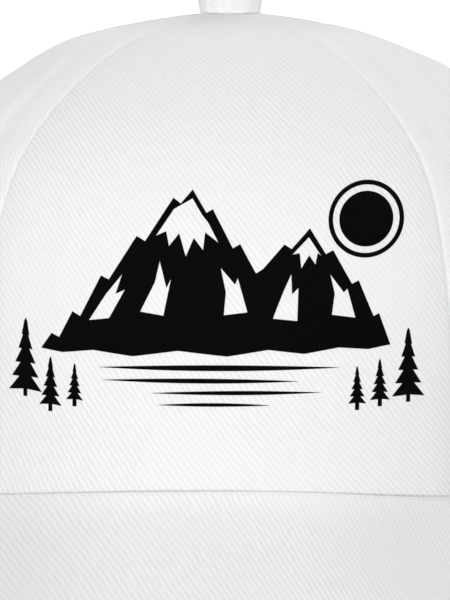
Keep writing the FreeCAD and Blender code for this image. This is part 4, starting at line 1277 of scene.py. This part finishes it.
class CAP_OT_opening(Maker, bpy.types.Operator):
    """Stitch round the opening and make the strap and its tab"""
    bl_idname = "cap.make_opening"
    bl_label = "Make strap"

    def execute(self, context):
        self.begin(context.scene)
        form, opening, self.sewing = self.form, self.opening, bmesh.new()
        self.middle = opening.strap_depth + opening.strap / 2
        self.height = opening.strap_rise + opening.strap_width / 2
        self.line = self.tab_line()
        wall = form.place_at(*arch_line(opening, ARCH_ROW)[6:-6].T)
        stitch_row(self.sewing, form.at(*wall, -0.1 * MM), form.normal(*wall))
        sheet("strap_cloth", 170, 34, self.strap, "strap", "stretched")
        sheet("strap_tab_cloth", 220, 34, self.tab, "strap", "folded")
        self.sew_strap()
        finish_piece(to_data(self.sewing, "strap_stitching"), "thread")
        return {"FINISHED"}

    def out_at(self, along, inset):
        """How far back the crown's oval lies at a place along the strap, drawn in by an inset."""
        wide, long = self.crown.half_width - inset, self.crown.half_length - inset
        return long * np.sqrt(np.maximum(1 - (along / wide) ** 2, 0))

    def sideways(self, line):
        """The way to one side all along a line seen from above."""
        way = unit(np.gradient(line, axis=0))
        return stack(way[:, 1], -way[:, 0])

    def cross(self, up, half):
        """A ribbon's rise, half thickness and distance from its edge, with its folds and sunk stitches."""
        rise, thick = (2 * crowd(up, 0.75) - 1) * half, self.opening.strap / 2
        edge = half - np.abs(rise)
        return rise, thick - rounding(edge, thick * 0.98) - 0.13 * MM * bell(edge - STRAP_ROW, 0.4 * MM), edge

    def strap(self, across, up, depth):
        """The strap: sewn in at one side, with a rounded free end that runs through the buckle."""
        opening = self.opening
        along = -opening.sewn_reach + (opening.tail + opening.sewn_reach) * (1 - (1 - across) ** 1.15)
        left = opening.tail - along
        rise, thick, edge = self.cross(up, opening.strap_width / 2 - rounding(left, opening.tail_corner))
        cloth = stack(along * 1.05, rise)
        ripple = 0.06 * MM * waves(cloth, 61, 0.02) * smooth(left, 0, 20 * MM)
        out = self.out_at(along, self.middle + ripple + thick * (2 * depth - 1))
        return stack(along, out, self.height + rise), cloth, 0.5 * fade(np.minimum(edge, left), MM)

    def tab_line(self):
        """The tab seen from above: round the crown, straight to the buckle and once round its bar."""
        opening = self.opening
        sewn = np.linspace(opening.sewn_reach, opening.half_width, 120)
        sewn = stack(sewn, self.out_at(sewn, self.middle))
        loop = opening.bar + 0.1 * MM + opening.strap / 2
        inner = self.out_at(opening.bar_at, opening.strap_depth + opening.strap)
        bar = np.array([opening.bar_at, inner - 0.25 * MM - loop - opening.strap / 2])
        reach = sewn[-1] - bar
        lean = math.atan2(reach[1], reach[0]) + math.asin(loop / np.linalg.norm(reach))
        sweep = np.radians(np.linspace(-90, -425, 200)) + lean
        return resample(np.concatenate([sewn, bar + loop * stack(np.cos(sweep), np.sin(sweep))]), 1200)

    def tab(self, across, up, depth):
        """The tab that holds the buckle's frame."""
        at = 1 - (1 - across) ** 1.6
        out = unit(along_line(self.sideways(self.line), at))
        rise, thick, edge = self.cross(up, self.opening.strap_width / 2)
        plan = along_line(self.line, at) + out * (thick * (1 - 2 * depth))[:, None]
        cloth = stack(at * run_of(self.line)[-1], rise)
        return stack(*plan.T, self.height + rise), cloth, 0.5 * fade(edge, MM)

    def sew_strap(self):
        """Stitches along each edge of the strap and the tab, on both faces, and two rows across the tab."""
        opening, thread = self.opening, STRAP_THREAD
        reach, thick = opening.strap_width / 2 - STRAP_ROW, opening.strap / 2 - 0.13 * MM
        along = np.linspace(-opening.half_width, opening.tail - 6 * MM, 400)
        out = unit(stack(along, self.out_at(along, 0), 0))
        tab = self.line[(self.line[:, 0] < opening.half_width) & (self.line[:, 0] > opening.bar_at + 4 * MM)]
        side = self.sideways(tab)
        for height in (self.height - reach, self.height + reach):
            for face in (1, -1):
                line = stack(along, self.out_at(along, self.middle - face * thick), height)
                stitch_row(self.sewing, line, out * face, thread=thread)
                line = stack(*(tab + side * face * thick).T, height)
                stitch_row(self.sewing, line, stack(*side.T, 0) * face, thread=thread)
        for start in (6.5 * MM, 9.0 * MM):
            at = np.argmin(np.abs(tab[:, 0] - opening.bar_at - start))
            for face in (1, -1):
                foot = tab[at] + side[at] * face * (opening.strap / 2 - 0.02 * MM)
                line = stack(*foot, self.height + np.linspace(-reach, reach, 60))
                stitch_row(self.sewing, line, stack(*side[at], np.zeros(60)) * face, thread=thread)


class CAP_OT_metal(Maker, bpy.types.Operator):
    """Give the buckle and the button's plate their metal"""
    bl_idname = "cap.finish_metal"
    bl_label = "Finish metal"

    def execute(self, context):
        self.begin(context.scene)
        for node in ("buckle_frame", "buckle_pin", "buckle_lever", "button_back"):
            data = frame["nodes"][node].data
            data.materials.clear()
            data.materials.append(material_of("steel" if node == "button_back" else "brass"))
        return {"FINISHED"}


class CAP_OT_print(Maker, bpy.types.Operator):
    """Print a plain mountain view on the front panel"""
    bl_idname = "cap.make_print"
    bl_label = "Make print"

    UNITS = 92.0                 # the view's width in its own units
    RIDGE = (
        (-39, -11.6), (-36.6, -8.2), (-34.8, -9.0), (-31.8, -3.2), (-30.0, -4.2), (-25.4, 4.8), (-23.6, 4.0),
        (-17.5, 13.5), (-15.6, 12.4), (-9.5, 21.8), (-7.8, 20.6), (-5.2, 23.6), (-2.0, 18.6), (-0.6, 19.4),
        (4.0, 11.0), (5.6, 11.9), (9.2, 5.6), (10.8, 6.6), (15.4, 11.8), (17.0, 10.8), (21.0, 15.2),
        (24.6, 9.6), (26.2, 10.4), (30.4, 3.0), (31.9, 3.7), (35.2, -4.2), (36.4, -3.6), (38.9, -10.6),
        (34.0, -11.4), (27.5, -10.8), (20, -12.0), (12, -11.0), (3, -12.4), (-8, -11.2), (-18, -12.6),
        (-27, -11.5), (-34, -12.3),
    )
    SNOW = (
        (
            (-5.2, 21.7), (-9.3, 19.4), (-13.2, 13.6), (-10.9, 14.6), (-10.2, 11.4), (-8.0, 14.2),
            (-6.4, 9.2), (-4.7, 13.2), (-2.6, 10.6), (-2.2, 14.4), (0.8, 12.2), (-1.5, 16.4), (-3.0, 18.2),
        ),
        (
            (20.8, 13.3), (17.2, 9.6), (18.8, 9.9), (19.2, 6.6), (20.9, 9.4), (22.3, 7.4), (22.8, 9.9),
            (23.6, 9.2),
        ),
        ((-28.0, -5.0), (-24.2, 0.8), (-20.6, 5.2), (-22.0, 0.9), (-19.9, 1.9), (-23.4, -4.4)),
        ((-16.4, -2.8), (-13.2, 3.6), (-12.2, 8.2), (-10.6, 2.4), (-9.6, 4.4), (-11.2, -3.6)),
        ((2.2, -3.4), (2.6, 1.6), (1.4, 6.8), (4.6, 3.2), (5.2, 4.6), (7.4, -2.8)),
        ((13.0, -4.2), (15.2, 1.4), (17.0, 5.4), (17.2, 1.0), (18.6, 2.4), (18.4, -4.8)),
        ((26.0, -3.6), (26.6, 1.0), (25.6, 5.2), (28.6, 1.2), (29.4, 2.0), (31.2, -4.4)),
    )
    SUN = 33.5, 17.0
    RINGS = 6.0, 7.4, 8.4
    PINES = (                    # across, foot and height
        (-42.7, -21.0, 15.5), (-36.8, -24.0, 10.4), (-31.2, -22.6, 7.8), (31.6, -23.2, 8.0),
        (36.6, -22.6, 8.8), (42.9, -22.0, 14.6),
    )
    LAKE = (                     # middle, half length, height and thickness
        (1.0, 27.0, -15.2, 0.9), (-3.0, 22.0, -18.0, 0.75), (5.0, 19.0, -20.6, 0.65),
        (0.0, 12.5, -23.2, 0.55),
    )

    def execute(self, context):
        self.begin(context.scene)
        flat = bpy.data.curves.new("print", "CURVE")
        flat.dimensions, flat.fill_mode = "2D", "BOTH"
        for shape in self.shapes():
            spline = flat.splines.new("POLY")
            spline.points.add(len(shape) - 1)
            for point, (x, z) in zip(spline.points, shape):
                point.co = (x, z, 0, 1)
            spline.use_cyclic_u = True
        holder = bpy.data.objects.new("print", flat)
        context.scene.collection.objects.link(holder)
        context.view_layer.update()
        cut = bpy.data.meshes.new_from_object(holder.evaluated_get(context.evaluated_depsgraph_get()))
        bpy.data.objects.remove(holder)
        mesh = bmesh.new()
        mesh.from_mesh(cut)
        bpy.data.meshes.remove(cut)
        bmesh.ops.remove_doubles(mesh, verts=mesh.verts, dist=0.01)
        # Cuts two units apart, a little off the drawing's own corners, let it follow the crown.
        for normal, reach in ((Vector((1, 0, 0)), 48), (Vector((0, 1, 0)), 30)):
            for place in range(-reach, reach + 1, 2):
                whole = mesh.verts[:] + mesh.edges[:] + mesh.faces[:]
                bmesh.ops.bisect_plane(mesh, geom=whole, plane_co=normal * (place + 0.013), plane_no=normal)
        bmesh.ops.recalc_face_normals(mesh, faces=mesh.faces[:])
        thicken(mesh, -1)
        data = to_data(mesh, "front_print")
        x, z, depth = read(data.vertices, "co", 3).T
        form, front = self.form, self.crown.front_seam
        size = self.print.width / self.UNITS
        x, z = x * size, z * size + self.print.height
        level, azimuth = form.place_at(x, z, front=True)
        cloth = form.cloth(level, azimuth, 0)
        lift = np.where(depth < -0.5, -0.03 * MM, self.print.film)
        lift = lift + form.swell(cloth, FRONT_SEED, FRONT_SOFT, level, azimuth, (-front, front))
        lay_out(data, form.at(level, azimuth, lift), cloth, 0 * x)
        finish_piece(data, "ink", sharp=60.0)
        return {"FINISHED"}

    def shapes(self):
        """The outlines of the view, in its own units: each one inside another is a hole in it."""
        shapes = [self.RIDGE, *self.SNOW]
        turns = [math.radians(step) for step in range(0, 360, 5)]
        for radius in self.RINGS:
            shapes.append([
                (self.SUN[0] + radius * math.cos(turn), self.SUN[1] + radius * math.sin(turn))
                for turn in turns])
        shapes += [self.pine(*pine) for pine in self.PINES]
        for middle, half, z, thick in self.LAKE:
            shapes.append([
                (middle + half * at / 10, z + part * thick * (1 - (at / 10) ** 2))
                for part, steps in ((1, range(-10, 11)), (-0.4, range(9, -10, -1))) for at in steps])
        return shapes

    def pine(self, x, foot, tall, tiers=5):
        """One pine's outline: a tip, ragged tiers that widen downwards, and a trunk."""
        left, right = [], []
        for tier in range(tiers):
            top, low = (foot + tall * (1 - step / tiers) for step in (tier, tier + 1))
            near = 0.10 * tall * (0.5 + tier * 0.42)
            left += [(x - near * 0.42, top - 0.02 * tall), (x - near * 1.15, low - 0.015 * tall)]
            right += [(x + near * 0.42, top - 0.02 * tall), (x + near * 1.15, low - 0.03 * tall)]
        trunk = [(x + 0.45, foot), (x + 0.45, foot - 1.6), (x - 0.45, foot - 1.6), (x - 0.45, foot)]
        return [(x, foot + tall * 1.02), *right, *trunk, *left[::-1]]


class CAP_OT_stage(Maker, bpy.types.Operator):
    """Set up the camera, the light and a plain white floor"""
    bl_idname = "cap.make_stage"
    bl_label = "Make stage"

    def execute(self, context):
        self.begin(context.scene)
        stage, scene = self.stage, context.scene
        back = Vector((
            math.sin(stage.yaw) * math.cos(stage.pitch), -math.cos(stage.yaw) * math.cos(stage.pitch),
            math.sin(stage.pitch)))
        right = Vector((math.cos(stage.yaw), math.sin(stage.yaw), 0))
        data = bpy.data.cameras.new("camera")
        data.lens, data.clip_start, data.clip_end = stage.lens, 0.05, 50.0
        scene.camera = bpy.data.objects.new("camera", data)
        scene.collection.objects.link(scene.camera)
        place = Vector((0, 0, stage.aim)) + back * stage.distance + right * stage.aside
        turned = Matrix((right, back.cross(right), back)).transposed().to_4x4()
        scene.camera.matrix_world = lay() @ Matrix.Translation(place) @ turned
        scene.view_settings.view_transform = "Standard"
        self.lamps(context)
        self.sky(context)
        self.floor(context)
        return {"FINISHED"}

    def lamps(self, context):
        """A large soft lamp in front, weaker ones above and at the left, and one behind."""
        for name, place, aim, size, power in (
            ("front lamp", (0.12, -1.4, 1.3), (0, 0, 0.06), 1.1, 1.0),
            ("upper lamp", (-0.1, -0.9, 0.95), (0, -0.1, 0.0), 0.8, 0.04),
            ("left lamp", (-1.35, -1.0, 1.3), (0, 0, 0.06), 1.0, 0.26),
            ("rear lamp", (0.6, 1.75, 0.85), (0, 0, 0.06), 1.2, 0.62),
        ):
            data = bpy.data.lights.new(name, "AREA")
            data.shape, data.size, data.energy = "DISK", size, power * self.stage.lamp
            lamp = bpy.data.objects.new(name, data)
            context.scene.collection.objects.link(lamp)
            lamp.location, lamp.rotation_mode = place, "QUATERNION"
            lamp.rotation_quaternion = (Vector(place) - Vector(aim)).to_track_quat("Z", "Y")

    def sky(self, context):
        """Even light from all sides, and white all round for the camera."""
        stage, world = self.stage, bpy.data.worlds.new("studio")
        context.scene.world = world
        tree = Tree(world)
        rise = tree.split(tree.value("TexCoord", output="Generated"))[2]
        ramp = tree.add("ValToRGB", {0: rise})
        ramp.color_ramp.elements.new(0.5)
        strengths = stage.world_low, stage.world, stage.world_high
        for stop, place, strength in zip(ramp.color_ramp.elements, (0, 0.5, 1), strengths):
            stop.position, stop.color = place, (strength, strength, strength, 1)
        even = tree.value("Background", {"Color": WHITE, "Strength": Value(tree, ramp.outputs[0])})
        white = tree.value("Background", {"Color": WHITE})
        tree.add("OutputWorld", {"Surface": tree.value("MixShader", {0: tree.seen(), 1: even, 2: white})})

    def floor(self, context):
        """A wide floor that is white to the camera and keeps the shadow under the cap."""
        mesh = bmesh.new()
        bmesh.ops.create_grid(mesh, x_segments=2, y_segments=2, size=8.0)
        data = bpy.data.meshes.new("floor")
        mesh.to_mesh(data)
        mesh.free()
        floor = bpy.data.objects.new("floor", data)
        context.scene.collection.objects.link(floor)
        finish = Finish("floor")
        places = finish.value("TexCoord", output="Object")
        far = finish.value("VectorMath", {0: places}, "Value", operation="LENGTH")
        near, out = SHADOW_ENDS
        away = finish.value("MapRange", {"Value": far, "From Min": near, "From Max": out})
        paint = finish.mix(finish.noise(places, 300.0), rgba((0.80, 0.80, 0.80)), rgba((0.82, 0.82, 0.82)))
        glow = finish.seen() * (away * 0.8 + 0.22)
        data.materials.append(finish.surface(paint, 0.9, 0.1, emission_color=WHITE, emission_strength=glow))


OPERATORS = (
    CAP_OT_crown, CAP_OT_inside, CAP_OT_brim, CAP_OT_button, CAP_OT_eyelets, CAP_OT_opening, CAP_OT_metal,
    CAP_OT_print, CAP_OT_stage,
)


class CAP_PT_panel(bpy.types.Panel):
    """Lists the cap's sizes and the steps that make it"""
    bl_label = "Cap"
    bl_idname = "CAP_PT_panel"
    bl_space_type = "VIEW_3D"
    bl_region_type = "UI"
    bl_category = "Cap"

    def draw(self, context):
        for operator in OPERATORS:
            self.layout.operator(operator.bl_idname)
        for name, group in GROUPS.items():
            box = self.layout.box()
            box.label(text=group.__doc__)
            for key in group.__annotations__:
                box.prop(getattr(context.scene, name), key)


def register():
    """Register the groups, the operators and the panel."""
    for name, group in GROUPS.items():
        bpy.utils.register_class(group)
        setattr(bpy.types.Scene, name, bpy.props.PointerProperty(type=group))
    for item in (*OPERATORS, CAP_PT_panel):
        bpy.utils.register_class(item)


def unregister():
    """Take them out again, last first."""
    for item in reversed((*OPERATORS, CAP_PT_panel)):
        bpy.utils.unregister_class(item)
    for name, group in reversed(GROUPS.items()):
        delattr(bpy.types.Scene, name)
        bpy.utils.unregister_class(group)


def main():
    """Make the whole cap."""
    register()
    bpy.ops.cap.make_crown()
    bpy.ops.cap.make_inside()
    bpy.ops.cap.make_brim()
    bpy.ops.cap.make_button()
    bpy.ops.cap.make_eyelets()
    bpy.ops.cap.make_opening()
    bpy.ops.cap.finish_metal()
    bpy.ops.cap.make_print()
    bpy.ops.cap.make_stage()


if __name__ == "__main__":
    main()
